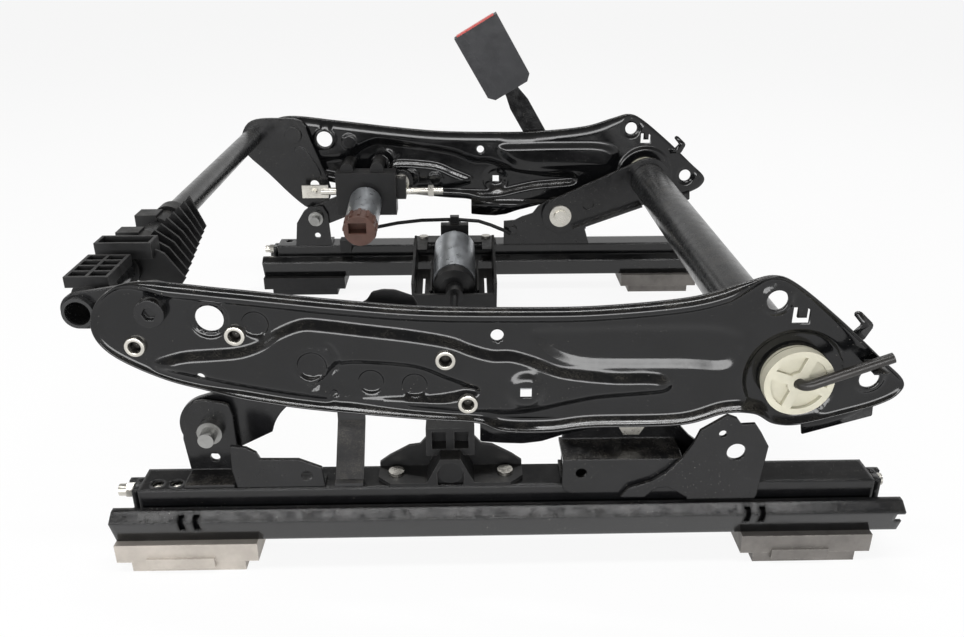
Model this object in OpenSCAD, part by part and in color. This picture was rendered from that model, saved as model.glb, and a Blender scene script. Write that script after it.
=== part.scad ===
// Powered base frame of a car front seat: slide rails, height linkage, side members and cushion tilt.
// +X points to the rear of the seat, +Y to its right, +Z up; the origin is on the floor,
// in the middle of the four floor bolts.

/* [Rails] */
// Distance between the middles of the two rails
rail_span = 467; // [420:1:520]
// Length of a lower rail
lower_len = 506; // [470:1:560]
// Length of an upper rail
upper_len = 473; // [455:1:500]
// Width of a lower rail
rail_w = 52; // [50:1:58]
// Height of a lower rail
rail_h = 23; // [21:0.5:26]
// Height of the upper rail above the lower one
rail_rise = 11; // [10:0.5:16]
// Wall of the rails
rail_t = 2; // [1.6:0.1:2.4]
// Radius of the lead screws
screw_r = 4; // [3:0.5:5]
// Diameter of the balls between the rails
ball_d = 5.9; // [5:0.1:6.1]

/* [Feet] */
// Height of the cast feet
foot_h = 21; // [18:0.5:30]
// Distance between the front and rear floor bolts
bolt_x = 405; // [380:1:430]
// Radius of the floor bolt holes
bolt_r = 5.25; // [4:0.25:7]

/* [Height linkage] */
// Forward reach of the links, from lower to upper pivot
link_dx = 95; // [92:1:104]
// Rise of the links at rest, from lower to upper pivot
link_dz = 39; // [36:1:42]
// Distance between the front and rear lower pivots
pivot_x = 270; // [264:1:276]
// Radius of the lower pivot pins
pivot_r = 6; // [5:0.5:7]
// Radius of the rear tube
rear_tube_r = 18.5; // [17:0.5:20]
// Wall of the rear tube
rear_tube_t = 2.5; // [2:0.5:4]
// Radius of the helper spring bar
bar_r = 3.2; // [2.5:0.1:4]

/* [Side members] */
// Sheet of the side members
sheet_t = 2; // [1.5:0.1:2.4]
// Depth of the flange round a side member
flange_d = 8; // [6:0.5:9]
// Height of the raised panel over the web
panel_d = 4; // [3:0.5:5]
// Radius of the backrest bolt holes
recliner_r = 6.5; // [5:0.5:8]
// Radius of the large front hole
front_hole_r = 8.5; // [7:0.5:10]

/* [Cushion tilt] */
// Radius of the front tube
front_tube_r = 9.5; // [8:0.5:11]
// Wall of the front tube
front_tube_t = 2; // [1.5:0.5:3]
// Distance from the tilt pivot to the front tube
tube_reach = 45; // [42:1:48]
// Sheet of the tilt arms
arm_t = 3; // [2:0.5:3.5]
// Radius of the tilt spindle
spindle_r = 4; // [3:0.5:4]

/* [Drives] */
// Radius of the slide motor
slide_motor_r = 22; // [18:1:24]
// Length of the slide motor can
slide_motor_len = 66; // [50:1:72]
// Slope of the slide motor
slide_motor_tilt = 12; // [6:1:14]
// Radius of the tilt motor
tilt_motor_r = 17; // [14:0.5:19]
// Length of the tilt motor can
tilt_motor_len = 54; // [45:1:75]
// Radius of the height motor
lift_motor_r = 15; // [12:0.5:16]
// Teeth on the full circle of the height gear sector
sector_teeth = 30; // [28:1:32]
// Teeth on the height motor pinion
pinion_teeth = 12; // [11:1:13]
// Tooth module of the height gears
gear_m = 1.6; // [1.5:0.05:1.7]

/* [Belt buckle] */
// Width of the buckle
buckle_w = 51; // [40:1:56]
// Length of the buckle
buckle_len = 76; // [65:1:85]
// Thickness of the buckle
buckle_t = 22; // [20:1:26]
// Lean of the buckle to the front
buckle_lean = 30.2; // [20:0.1:35]
// Length of the stalk under the buckle
stalk_len = 110; // [100:1:125]

/* [Hidden] */
$fn = 48;

// Rail heights and the middle plane of a rail
rail_y = rail_span / 2;
rail_z = foot_h;
lower_top = rail_z + rail_h;
upper_top = lower_top + rail_rise;
rail_half = rail_w / 2;
lower_mid_x = 7;
upper_mid_x = 6.5;

// Section of the lower rail, right half from the floor to the lip
floor_half = rail_half - 7;
crease_z = rail_z + rail_h - 4.5;
lip_half = 15;
lip_drop = 6.5;

// Section of the upper rail, right half from the hook to the top
hat_half = 12;
hook_half = 17.5;
ball_gap = 0.3;
ball_z = rail_z + rail_t + ball_gap + ball_d / 2;
hat_foot = ball_z + ball_d / 2 + ball_gap;
hook_rise = 7;
ball_s = 14.5;

// Lead screw and gearbox on the upper rail
gear_x = -31;
screw_z = upper_top - rail_t - 5.5;
drive_z = upper_top + 9;
gearbox_half = 24;
window_half = 8;
gearbox_w = hat_half - rail_t;
run_fit = 0.1;

// Layers across one side, as distances from the middle of the seat
web_y = rail_y + 5.5;
panel_y = web_y + sheet_t + panel_d;
flange_y = web_y + flange_d;
rear_bracket_t = 2.5;
rear_bracket_y = rail_y - 13;
rear_link_t = 4;
rear_link_y = rear_bracket_y - 2.5 - rear_link_t;
front_bracket_t = 2.5;
front_link_t = 3.5;
arm_y = web_y - 5.5 - arm_t;

// Front bracket and link layers, left side then right side
front_bracket_y = [rail_y - 9.5, rail_y - 12];
front_link_y = [rail_y - 16, rail_y - 8.3];

// Pivots in the X-Z plane
front_low = [-184, foot_h + 66.5];
rear_low = front_low + [pivot_x, 2.5];
link_v = [link_dx, link_dz];
front_up = front_low + link_v;
rear_up = rear_low + link_v;
front_link_r = [21.5, 12];
link_pin_r = 6;

// Height gear
gear_mid = gear_m * (sector_teeth + pinion_teeth) / 2;
gear_dir = -8;
pinion_at = front_up + gear_mid * [cos(gear_dir), sin(gear_dir)];
gear_pa = 25;
gear_slack = 0.15;

// Cushion tilt
tilt_at = [front_up[0] - 114.3, front_up[1] + 51];
tube_dir = 184;
tube_at = tilt_at + tube_reach * [cos(tube_dir), sin(tube_dir)];
tilt_bolt_r = 6;
drive_at = tilt_at + [20.3, -58.5];
spindle_y = rail_y - 17;
slot_room = 1.9;

// Backrest holes and the rear hole of the side member
recliner_up = rear_up + [-17.6, 51.5];
recliner_low = rear_up + [46.4, -1.4];
bush_t = 2;
bush_fit = 0.06;

// Unit vector, and the left-hand normal of the step from a to b
function unit(v) = v / norm(v);
function normal(a, b) = let(u = unit(b - a)) [-u[1], u[0]];

// A path moved sideways by d with mitred corners, and the closed outline of a bent sheet
function shifted(p, d) = let(last = len(p) - 1) [for (i = [0 : last])
    let(n1 = normal(p[max(i - 1, 0)], p[max(i - 1, 0) + 1]),
        n2 = normal(p[min(i, last - 1)], p[min(i, last - 1) + 1]),
        m = unit(n1 + n2)) p[i] + m * d / (m * n1)];
function reversed(p) = [for (i = [len(p) - 1 : -1 : 0]) p[i]];
function sheet(p, t) = concat(p, reversed(shifted(p, t)));
function mirrored(p) = concat(p, [for (q = reversed(p)) [-q[0], q[1]]]);

// Closed smooth curve through points, n steps between two of them
function curve_at(a, b, c, d, t) = 0.5 * (2 * b + (c - a) * t + (2 * a - 5 * b + 4 * c - d) * t * t
    + (3 * b - a - 3 * c + d) * t * t * t);
function smooth(p, n) = let(k = len(p)) [for (i = [0 : k - 1], j = [0 : n - 1])
    curve_at(p[(i + k - 1) % k], p[i], p[(i + 1) % k], p[(i + 2) % k], j / n)];

// A closed outline drawn in by d, for outlines that run clockwise
function drawn_in(p, d) = let(k = len(p)) [for (i = [0 : k - 1])
    let(u = unit(p[(i + 1) % k] - p[(i + k - 1) % k])) p[i] + d * [u[1], -u[0]]];

// Involute gear outline: half tooth angle at radius r, and one tooth after another
function inv(a) = tan(a) * 180 / PI - a;
function half_tooth(n, r) = let(rp = gear_m * n / 2, rb = rp * cos(gear_pa))
    90 / n - gear_slack / rp * 90 / PI + inv(gear_pa) - inv(acos(min(1, rb / max(r, rb))));
function gear_points(n, turn) = let(rp = gear_m * n / 2, ra = rp + 0.8 * gear_m,
        rf = rp - 1.1 * gear_m, rs = [rf, rf + 0.35 * gear_m, rp, (rp + ra) / 2, ra])
    [for (k = [0 : n - 1], side = [-1, 1], i = [0 : 4])
        let(r = side < 0 ? rs[i] : rs[4 - i], a = turn + k * 360 / n + side * half_tooth(n, r))
        r * [cos(a), sin(a)]];

// A plate in the X-Z plane, y from y0 to y0 + t
module plate(y0, t) {
    translate([0, y0 + t, 0]) rotate([90, 0, 0]) linear_extrude(t) children();
}
// A round bar along Y through point p of the X-Z plane
module bar_y(p, y0, y1, r) {
    translate([p[0], y1, p[1]]) rotate([90, 0, 0]) cylinder(r = r, h = y1 - y0);
}
// A box from its lowest to its highest corner
module box(a, b) {
    translate(a) cube(b - a);
}
// The left side of the seat is the mirror of the right side
module left() {
    mirror([0, 1, 0]) children();
}
// Straight-sided plate between two round ends
module link_plate(p, q, r1, r2, y0, t) {
    n = normal(p, q);
    a = asin((r2 - r1) / norm(q - p));
    u = unit(q - p);
    n1 = n * cos(a) - u * sin(a);
    n2 = -n * cos(a) - u * sin(a);
    plate(y0, t) polygon([p + n1 * r1, p + n2 * r1, q + n2 * r2, q + n1 * r2]);
    bar_y(p, y0, y0 + t, r1);
    bar_y(q, y0, y0 + t, r2);
}
// Round tube of the given sides swept along points
module swept(p, r, sides) {
    k = len(p);
    dirs = [for (i = [0 : k - 1]) unit(p[min(i + 1, k - 1)] - p[max(i - 1, 0)])];
    rings = [for (i = [0 : k - 1]) let(u = unit(cross(dirs[i], [0.13, 0.17, 0.97])), w = cross(dirs[i], u))
        for (j = [0 : sides - 1]) p[i] + r * (u * cos(360 * j / sides) + w * sin(360 * j / sides))];
    walls = [for (i = [0 : k - 2], j = [0 : sides - 1]) let(a = i * sides + j,
        b = i * sides + (j + 1) % sides) [a, a + sides, b + sides, b]];
    first = [for (j = [0 : sides - 1]) j];
    last = [for (j = [sides - 1 : -1 : 0]) (k - 1) * sides + j];
    polyhedron(rings, concat(walls, [first, last]));
}

// Lower rail: a channel with sloped walls, shoulders and inturned lips
module lower_rail() {
    half = [[lip_half, lower_top - lip_drop], [lip_half, lower_top], [floor_half, lower_top],
        [rail_half, crease_z], [floor_half, rail_z]];
    tab_at = [lower_mid_x - 0.402 * lower_len, lower_mid_x + 0.309 * lower_len];
    tab_w = 5.4;
    tab_slot = 4;
    difference() {
        translate([lower_mid_x - lower_len / 2, rail_y, 0]) rotate([90, 0, 90])
            linear_extrude(lower_len) polygon(sheet(mirrored(half), -rail_t));
        // Openings over the floor bolts
        for (sx = [-1, 1])
            translate([sx * bolt_x / 2, rail_y, rail_z - 1]) cylinder(r = 2 * bolt_r, h = rail_t + 2);
        // Slots beside the lanced stop tabs
        for (tab = tab_at, st = [-1, 1]) {
            slot_x = tab + st * (tab_w + tab_slot) / 2;
            box([slot_x - tab_slot / 2, rail_y + floor_half + 0.5, crease_z - 8],
                [slot_x + tab_slot / 2, rail_y + rail_half + 1, crease_z + 3]);
        }
        // Stepped cut-back of the outer wall at the rear end
        box([lower_mid_x + lower_len / 2 - 5, rail_y - rail_half - 1, crease_z - 9],
            [lower_mid_x + lower_len / 2 + 1, rail_y + rail_half + 1, crease_z - 2]);
    }
}
module lower_rail_left() { color("#17181a") left() lower_rail(); }
module lower_rail_right() { color("#17181a") lower_rail(); }

// Cast foot: a flange under the rail over a smaller block, with a raised rib on its outer side
module foot(x0, x1, inset) {
    step_z = 0.37 * foot_h;
    in_y = rail_y - rail_half + 1;
    out_y = rail_y + rail_half - 2;
    rib = 2;
    rib_z = [0.19 * foot_h, 0.54 * foot_h];
    difference() {
        union() {
            box([x0, in_y, step_z], [x1, out_y, foot_h]);
            box([x0 + inset, in_y + 2, 0], [x1 - inset, out_y - 1, step_z]);
            box([x0 + 2.2 * inset, out_y - 2, rib_z[0]], [x1 - 3.1 * inset, out_y + rib, rib_z[1]]);
        }
        translate([sign(x0) * bolt_x / 2, rail_y, -1]) cylinder(r = bolt_r, h = foot_h + 2);
        // Weight-saving pocket in the underside, clear of the bolt
        for (sx = [-1, 1])
            box([sign(x0) * bolt_x / 2 + sx * 19 - 5, rail_y - 12, -1],
                [sign(x0) * bolt_x / 2 + sx * 19 + 5, rail_y + 12, step_z - 3]);
    }
}
front_foot = [-bolt_x / 2 - 44, -bolt_x / 2 + 47];
rear_foot = [bolt_x / 2 - 45, bolt_x / 2 + 40];
foot_inset = 9;
module foot_front_left() { color("#c9c8c3") left() foot(front_foot[0], front_foot[1], foot_inset); }
module foot_rear_left() { color("#8f8e8a") left() foot(rear_foot[0], rear_foot[1], foot_inset); }
module foot_front_right() { color("#2a2b2d") foot(front_foot[0], front_foot[1], foot_inset); }
module foot_rear_right() { color("#8f8e8a") foot(rear_foot[0], rear_foot[1], foot_inset); }

// Lead screw with a nut at its front tip, and the lugs that hold it in the lower rail
screw_lug_t = 4;
lug_x = [lower_mid_x - lower_len / 2 + 10, lower_mid_x + lower_len / 2 - 14];
nut_h = 5;
module lead_screw() {
    x0 = lug_x[0] - nut_h - 5;
    translate([x0, rail_y, screw_z]) rotate([0, 90, 0])
        cylinder(r = screw_r, h = lug_x[1] + screw_lug_t + 3 - x0);
    translate([lug_x[0] - nut_h, rail_y, screw_z]) rotate([0, 90, 0])
        cylinder(r = screw_r + 1.1, h = nut_h, $fn = 6);
}
module lead_screw_left() { color("#c8c8c4") left() lead_screw(); }
module lead_screw_right() { color("#c8c8c4") lead_screw(); }
module screw_brackets() {
    lug_w = 7;
    color("#2a2b2d") for (s = [-1, 1], x = lug_x)
        difference() {
            box([x, s * rail_y - lug_w, rail_z + rail_t], [x + screw_lug_t, s * rail_y + lug_w, screw_z + screw_r + 0.4]);
            translate([x - 1, s * rail_y, screw_z]) rotate([0, 90, 0]) cylinder(r = screw_r, h = screw_lug_t + 2);
        }
}

// Upper rail: a hat with outturned hooks, and the window for the gearbox
module upper_rail() {
    half = [[hook_half, hat_foot + rail_t + hook_rise], [hook_half, hat_foot + rail_t],
        [hat_half, hat_foot + rail_t], [hat_half, upper_top]];
    x0 = upper_mid_x - upper_len / 2;
    difference() {
        translate([x0, rail_y, 0]) rotate([90, 0, 90])
            linear_extrude(upper_len) polygon(sheet(mirrored(half), rail_t));
        box([gear_x - window_half, rail_y - gearbox_w + 2, upper_top - rail_t - 1],
            [gear_x + window_half, rail_y + gearbox_w - 2, upper_top + 1]);
        for (dx = [10.6, 22.7])
            translate([x0 + dx, rail_y + 4.5, upper_top - rail_t - 1]) cylinder(r = 4, h = rail_t + 2);
    }
}
module upper_rail_left() { color("#141517") left() upper_rail(); }
module upper_rail_right() { color("#141517") upper_rail(); }

// Drive nut housing in the hat section, with the boss of its cross shaft
boss_r = 8;
boss_y = rail_y - 29;
module slide_gearbox() {
    difference() {
        union() {
            box([gear_x - gearbox_half, rail_y - gearbox_w, screw_z - screw_r - 4],
                [gear_x + gearbox_half, rail_y + gearbox_w, upper_top - rail_t]);
            box([gear_x - window_half, rail_y - gearbox_w + 2, upper_top - rail_t - 1],
                [gear_x + window_half, rail_y + gearbox_w - 2, drive_z]);
            bar_y([gear_x, drive_z], boss_y, rail_y + gearbox_w, boss_r);
        }
        translate([gear_x - gearbox_half - 1, rail_y, screw_z]) rotate([0, 90, 0])
            cylinder(r = screw_r + run_fit, h = 2 * gearbox_half + 2);
    }
}
module slide_gearbox_left() { color("#3a3b3d") left() slide_gearbox(); }
module slide_gearbox_right() { color("#3a3b3d") slide_gearbox(); }

// Moulded saddle over a gearbox: two riveted wings, a hood like a gable and a neck behind it
saddle_half = 46.5;
saddle_t = 2.5;
rivet_dx = 35.2;
hood_out = rail_y + hat_half;
hood_foot = 16.5;
hood_ridge = 6.5;
neck_in = rail_y - 11;
neck_out = rail_y + 1;
neck_half = 15.5;
neck_h = [36, 22];
module saddle(neck_from, neck_to) {
    wing = upper_top + saddle_t;
    corner = 8;
    hood_top = drive_z + boss_r + 3;
    difference() {
        union() {
            translate([gear_x, 0, upper_top]) linear_extrude(saddle_t) polygon(mirrored([[saddle_half - 20, neck_in],
                [saddle_half, neck_in], [saddle_half, hood_out - corner], [saddle_half - corner, hood_out]]));
            plate(neck_in, hood_out - neck_in) polygon([[gear_x - hood_foot, upper_top],
                [gear_x - hood_ridge, hood_top], [gear_x + hood_ridge, hood_top], [gear_x + hood_foot, upper_top]]);
            box([gear_x - neck_half, neck_in, upper_top + neck_from], [gear_x + neck_half, neck_out, upper_top + neck_to]);
        }
        // Passage of the gearbox and its cross shaft
        box([gear_x - window_half - 0.3, neck_in - 1, upper_top - 1], [gear_x + window_half + 0.3, hood_out + 1, drive_z]);
        bar_y([gear_x, drive_z], neck_in - 1, hood_out + 1, boss_r + 0.3);
        for (s = [-1, 1])
            translate([gear_x + s * rivet_dx, rail_y, upper_top - 1]) cylinder(r = 2.5, h = saddle_t + 2);
    }
}
// Left saddle: the wings have a back wall that climbs to the neck, which has two pockets
module gearbox_saddle_left() {
    wall_t = 2.5;
    wall = [[saddle_half, 0], [saddle_half, 5], [40, 10], [27, 17.5], [20, 18.5], [neck_half, 24], [neck_half, 30]];
    pocket_w = 9;
    color("#1b1c1e") left() difference() {
        union() {
            saddle(16, neck_h[0]);
            plate(neck_in, wall_t) translate([gear_x, upper_top]) polygon(mirrored(wall));
        }
        bar_y([gear_x, drive_z], neck_in - 1, neck_in + wall_t + 1, boss_r + 0.3);
        box([gear_x - window_half - 0.3, neck_in - 1, upper_top - 1], [gear_x + window_half + 0.3, neck_out, drive_z]);
        for (s = [-1, 1])
            translate([gear_x + s * 7.2 - pocket_w / 2, neck_in + wall_t, upper_top + 21])
                cube([pocket_w, neck_out - neck_in, neck_h[0] - 23.5]);
    }
}
// Right saddle: a low neck with the clip of the lead on its top
clip_z = upper_top + neck_h[1];
module gearbox_saddle_right() {
    color("#1b1c1e") {
        saddle(saddle_t - 0.5, neck_h[1]);
        difference() {
            box([gear_x - 5, rail_y - 5, clip_z], [gear_x + 5, rail_y + 3, clip_z + 2 * lead_r + 4]);
            translate([gear_x - 6, rail_y - 1, clip_z + lead_r + 2]) rotate([0, 90, 0])
                cylinder(r = lead_r + 0.6, h = 12);
        }
    }
}
module saddle_rivets() {
    color("#c9cac8") for (y = [-1, 1] * rail_y, s = [-1, 1])
        translate([gear_x + s * rivet_dx, y, upper_top]) {
            cylinder(r = 2.5, h = saddle_t + (y > 0 ? tray_tab : 0));
            translate([0, 0, saddle_t + (y > 0 ? tray_tab : 0)]) cylinder(r = 5, h = 2);
        }
}

// Slide motor on the sloped axis that starts at the right gearbox boss
tray_tab = 2;
motor_neck = 14;
cap_len = 14;
nose_len = 12;
module on_slide_axis() {
    translate([gear_x, boss_y, drive_z]) rotate([90 + slide_motor_tilt, 0, 0]) children();
}
module slide_motor() {
    color("#b9babb") on_slide_axis() {
        translate([0, 0, 2.2]) cylinder(r = boss_r, h = motor_neck - 2.2);
        translate([0, 0, motor_neck]) cylinder(r = slide_motor_r, h = slide_motor_len);
    }
}
module slide_motor_cap() {
    z0 = motor_neck + slide_motor_len;
    color("#1a1b1c") on_slide_axis() {
        translate([0, 0, z0]) cylinder(r = slide_motor_r - 1, h = cap_len - 4);
        translate([0, 0, z0 + cap_len - 4]) cylinder(r1 = slide_motor_r - 1, r2 = slide_motor_r - 7, h = 4);
        translate([0, 0, z0 + cap_len]) cylinder(r = 9, h = nose_len);
    }
}
// Open tray under the slide motor, hung from the right saddle by two tabs
module motor_tray() {
    wall = 2.5;
    half = 42;
    slot_at = 33;
    slot_w = 2.5;
    inner = slide_motor_r + 0.4;
    z1 = motor_neck + slide_motor_len + cap_len + nose_len - 6;
    tab_z = upper_top + saddle_t;
    tab_in = boss_y - 12;
    color("#1c1d1f") difference() {
        union() {
            on_slide_axis() {
                for (s = [-1, 1])
                    box([s * half - wall / 2, -inner - wall, 6], [s * half + wall / 2, 12, z1]);
                box([-half - wall / 2, -inner - wall, 20], [half + wall / 2, -inner, z1]);
                box([-half - wall / 2, -inner - wall, z1 - wall], [half + wall / 2, -2, z1]);
                // Ribs that cradle the motor can
                for (s = [-1, 1])
                    box([s * (inner + 2) - 1, -inner - 0.5, 24], [s * (inner + 2) + 1, -8, z1 - wall - 14]);
            }
            for (s = [-1, 1])
                box([gear_x + s * 37.5 - 7, tab_in, tab_z], [gear_x + s * 37.5 + 7, rail_y + 5.5, tab_z + tray_tab]);
        }
        on_slide_axis() translate([0, 0, z1 - 20]) cylinder(r = 9.3, h = 40);
        // Open slots in the floor beside the motor
        on_slide_axis() for (s = [-1, 1])
            box([s * slot_at - slot_w / 2, -inner - wall - 1, 36], [s * slot_at + slot_w / 2, 1 - inner, z1 - 18]);
        for (s = [-1, 1])
            translate([gear_x + s * rivet_dx, rail_y, tab_z - 1]) cylinder(r = 2.5, h = tray_tab + 2);
    }
}
// Flexible shaft in its sleeve, from the motor to the left gearbox
cable_r = 4;
nose_z = motor_neck + slide_motor_len + cap_len + nose_len;
nose_end = [gear_x, boss_y - nose_z * cos(slide_motor_tilt), drive_z - nose_z * sin(slide_motor_tilt)];
nose_dir = [0, -cos(slide_motor_tilt), -sin(slide_motor_tilt)];
module drive_cable() {
    end_gap = 0.2;
    a = nose_end + end_gap * nose_dir;
    b = a + 60 * nose_dir;
    d = [gear_x, -boss_y + end_gap, drive_z];
    c = d + [0, 90, 0];
    color("#202122") swept([for (i = [0 : 18]) let(t = i / 18)
        a * pow(1 - t, 3) + 3 * b * t * pow(1 - t, 2) + 3 * c * t * t * (1 - t) + d * pow(t, 3)], cable_r, 10);
}

// Upright of a front link with its foot on the rail
module front_bracket(side) {
    y0 = front_bracket_y[side];
    x = front_low[0];
    z = front_low[1];
    foot_out = rail_y + hat_half - 1;
    foot_x = side == 0 ? [x - 16.4, x + 15.4] : [x - 25, x + 15];
    upright = side == 0
        ? [[x - 18.7, z - 6.5], [x - 17, z + 6], [x - 12, z + 16], [x - 8.3, z + 20.4], [x - 3, z + 21.2],
            [x + 10, z + 19], [x + 13, z + 17.3], [x + 14.8, z + 9.6]]
        : [[x - 22, z - 6], [x - 13, z + 8], [x - 6, z + 13], [x + 8, z + 13], [x + 13, z + 4]];
    difference() {
        union() {
            plate(y0, front_bracket_t)
                polygon(concat([[foot_x[0], upper_top]], upright, [[foot_x[1], upper_top]]));
            box([foot_x[0], y0, upper_top], [foot_x[1], foot_out, upper_top + front_bracket_t]);
        }
        bar_y(front_low, y0 - 1, y0 + front_bracket_t + 1, pivot_r);
        bar_y([x, upper_top + 12], y0 - 1, y0 + front_bracket_t + 1, 3.2);
    }
}
module front_bracket_left() { color("#1d1e20") left() front_bracket(0); }
module front_bracket_right() { color("#232426") front_bracket(1); }
// Side stay at the outer edge of the left rail
module front_stay_left() {
    x = front_low[0] + 15;
    t = 2.5;
    y1 = rail_y + hat_half - 1;
    color("#232426") left() difference() {
        union() {
            plate(y1 - t, t) translate([x, upper_top]) polygon([[2.4, 0], [0.3, 13], [1, 31], [10.4, 29.7],
                [16.4, 25.9], [18.6, 21], [42.5, 20.6], [56.7, 14.3], [57.9, 0]]);
            box([x + 2.4, y1 - 12, upper_top], [x + 57.9, y1, upper_top + t]);
        }
        bar_y([x + 47, upper_top + 8.4], y1 - t - 1, y1 + 1, 3.5);
    }
}
// Lower pivots of the front links: stepped pins that point to the left on both sides
module front_pivot_pins() {
    color("#b5b3ac") for (side = [0, 1]) {
        bracket = front_bracket_y[side];
        link = front_link_y[side];
        // Left: the link lies inboard of the bracket, right: outboard
        mirror([0, side == 0 ? 1 : 0, 0]) {
            tip = side == 0 ? 1 : -1;
            face = side == 0 ? bracket + front_bracket_t : bracket;
            far = side == 0 ? link - 1.5 : link + front_link_t + 1.5;
            bar_y(front_low, min(face, far), max(face, far), pivot_r);
            bar_y(front_low, min(face, face + tip * 5), max(face, face + tip * 5), pivot_r + 2);
            bar_y(front_low, min(face, face + tip * 14), max(face, face + tip * 14), pivot_r - 1);
            head = side == 0 ? far : far - 1.2;
            bar_y(front_low, head, head + 1.2, pivot_r + 3);
        }
    }
}

// Bracket of a rear link: inner wall with the pivot, shelf over the rail and low outer wall
shelf_h = 20;
module rear_bracket(inner_wall) {
    x = rear_low[0];
    z = rear_low[1];
    t = rear_bracket_t;
    y1 = rail_y + hat_half;
    x0 = x - 46;
    x1 = x + 30;
    difference() {
        union() {
            plate(rear_bracket_y, t) translate([x, 0]) polygon(inner_wall);
            box([x0, rear_bracket_y, upper_top + shelf_h - t], [x1, y1 + t, upper_top + shelf_h]);
            plate(y1, t) polygon([[x0, upper_top + shelf_h], [x1, upper_top + shelf_h], [x1, upper_top - 5],
                [x0 + 6, upper_top - 5], [x0 + 2, upper_top - 3.5], [x0, upper_top]]);
            box([x0, rear_bracket_y, upper_top], [x1, rail_y + 6.5, upper_top + t]);
        }
        bar_y(rear_low, rear_bracket_y - 1, rear_bracket_y + t + 1, pivot_r);
        bar_y([x - 34, upper_top + 10], y1 - 1, y1 + t + 1, 3.5);
    }
}
rear_hump = [[-24, rear_low[1] + 9], [-12, rear_low[1] + 16], [10, rear_low[1] + 16], [22, rear_low[1] + 6]];
module rear_bracket_left() {
    color("#18191b") left() rear_bracket(concat([[-44, upper_top], [-44, rear_low[1] - 14], [-38, rear_low[1] - 4],
        [-30, rear_low[1] + 1]], rear_hump, [[40, rear_low[1] - 14], [58, rear_low[1] - 28], [60, upper_top]]));
}
// The right bracket reaches further forward and has a button on its inner wall
module rear_bracket_right() {
    color("#18191b") {
        rear_bracket(concat([[-62, upper_top], [-62, rear_low[1] - 8], [-50, rear_low[1] - 7],
            [-42, rear_low[1] - 3], [-30, rear_low[1] + 1]], rear_hump, [[34, upper_top]]));
        bar_y(rear_low + [-52, -18], rear_bracket_y - 3, rear_bracket_y, 5);
    }
}
// Outer plate at the left rear with the hole for the belt end
belt_hole = [rear_low[0] + 62, upper_top + 26.5];
belt_y = rail_y + 15.4;
belt_t = 2.5;
belt_hole_r = 6;
module belt_anchor_plate() {
    x = rear_low[0];
    z0 = lower_top + 2.5;
    color("#222325") left() difference() {
        union() {
            plate(belt_y, belt_t) translate([x, z0]) polygon([[-8.6, 2.3], [-3.6, 8.9], [10.7, 13.9], [19.8, 20.6],
                [28.6, 30.8], [34.4, 40.8], [38.1, 50.7], [50.5, 59.2], [54, 61.5], [60, 59.1], [63.3, 54.7],
                [71.8, 55.1], [76, 49], [81.8, 38.9], [79.8, 16.2], [78.7, 1.6], [33.3, 1.8], [28, 5.4],
                [20.8, 9.6], [14.9, 9.1], [11.2, 6.9], [6.7, 2]]);
            box([x + 34, rail_y + hat_half, z0], [x + 78, belt_y + belt_t, z0 + 3]);
        }
        bar_y(belt_hole, belt_y - 1, belt_y + belt_t + 1, belt_hole_r);
        bar_y(belt_hole + [-9.8, 13.3], belt_y - 1, belt_y + belt_t + 1, 2.5);
    }
}
// Lower pivots of the rear links: bolts with large washers and nuts
module rear_pivot_bolts() {
    y0 = rear_link_y - 0.2;
    color("#c4c4c0") for (s = [0, 1]) mirror([0, s, 0]) {
        bar_y(rear_low, y0 - 2.5, y0, pivot_r + 6);
        bar_y(rear_low, y0 - 6, y0 - 2.5, pivot_r + 1);
        bar_y(rear_low, y0, rear_bracket_y + rear_bracket_t, pivot_r);
        translate([rear_low[0], rear_bracket_y + rear_bracket_t + 6, rear_low[1]]) rotate([90, 0, 0])
            cylinder(r = pivot_r + 4, h = 6, $fn = 6);
    }
}

// Leads on the right rail: one through the clip, one down to the floor side and across to the post
lead_r = 2;
lead_z = clip_z + lead_r + 2;
lead_route = [[-150, rail_y - 20, 7], [-140, rail_y - 17, 15], [-122, rail_y - 11, 20], [-95, rail_y - 5, 23.5],
    [-68, rail_y - 2, 25.5], [gear_x, rail_y - 1, lead_z - upper_top], [-4, rail_y - 5, 25], [10, rail_y - 12.5, 22.5],
    [20, rail_y - 17, 19.5], [27, rail_y - 18, 17], [31, rail_y - 18.2, 14]];
module harness_cable() {
    color("#141414") swept([for (p = lead_route) p + [0, 0, upper_top]], lead_r, 8);
    // Small plug at the front end of the lead, seated on the rail
    color("#141414") box([-158, rail_y - 25, upper_top - 4], [-146, rail_y - hat_half, upper_top + 10]);
}
// Strip that stands on the left rail, leans inboard and ends in a rounded head
module harness_post() {
    t = 2.5;
    w = 14;
    x = front_up[0] - 15;
    foot_y = rail_y + hat_half - 1;
    bend = rail_y - 23;
    lean = [[foot_y, upper_top], [foot_y - 7, upper_top], [bend, upper_top + 30], [bend, upper_top + 122]];
    color("#27282a") left() {
        translate([x, 0, 0]) rotate([90, 0, 90]) linear_extrude(w) polygon(sheet(lean, -t));
        difference() {
            plate(bend, t) polygon(smooth([[x + 1, upper_top + 110], [x + 2, upper_top + 121],
                [x + 14, upper_top + 128], [x + 30, upper_top + 127], [x + 58, upper_top + 118],
                [x + 58, upper_top + 112], [x + 30, upper_top + 108]], 4));
            box([x, bend - 1, upper_top + 100], [x + w, bend + t + 1, upper_top + 122]);
        }
    }
}

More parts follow.
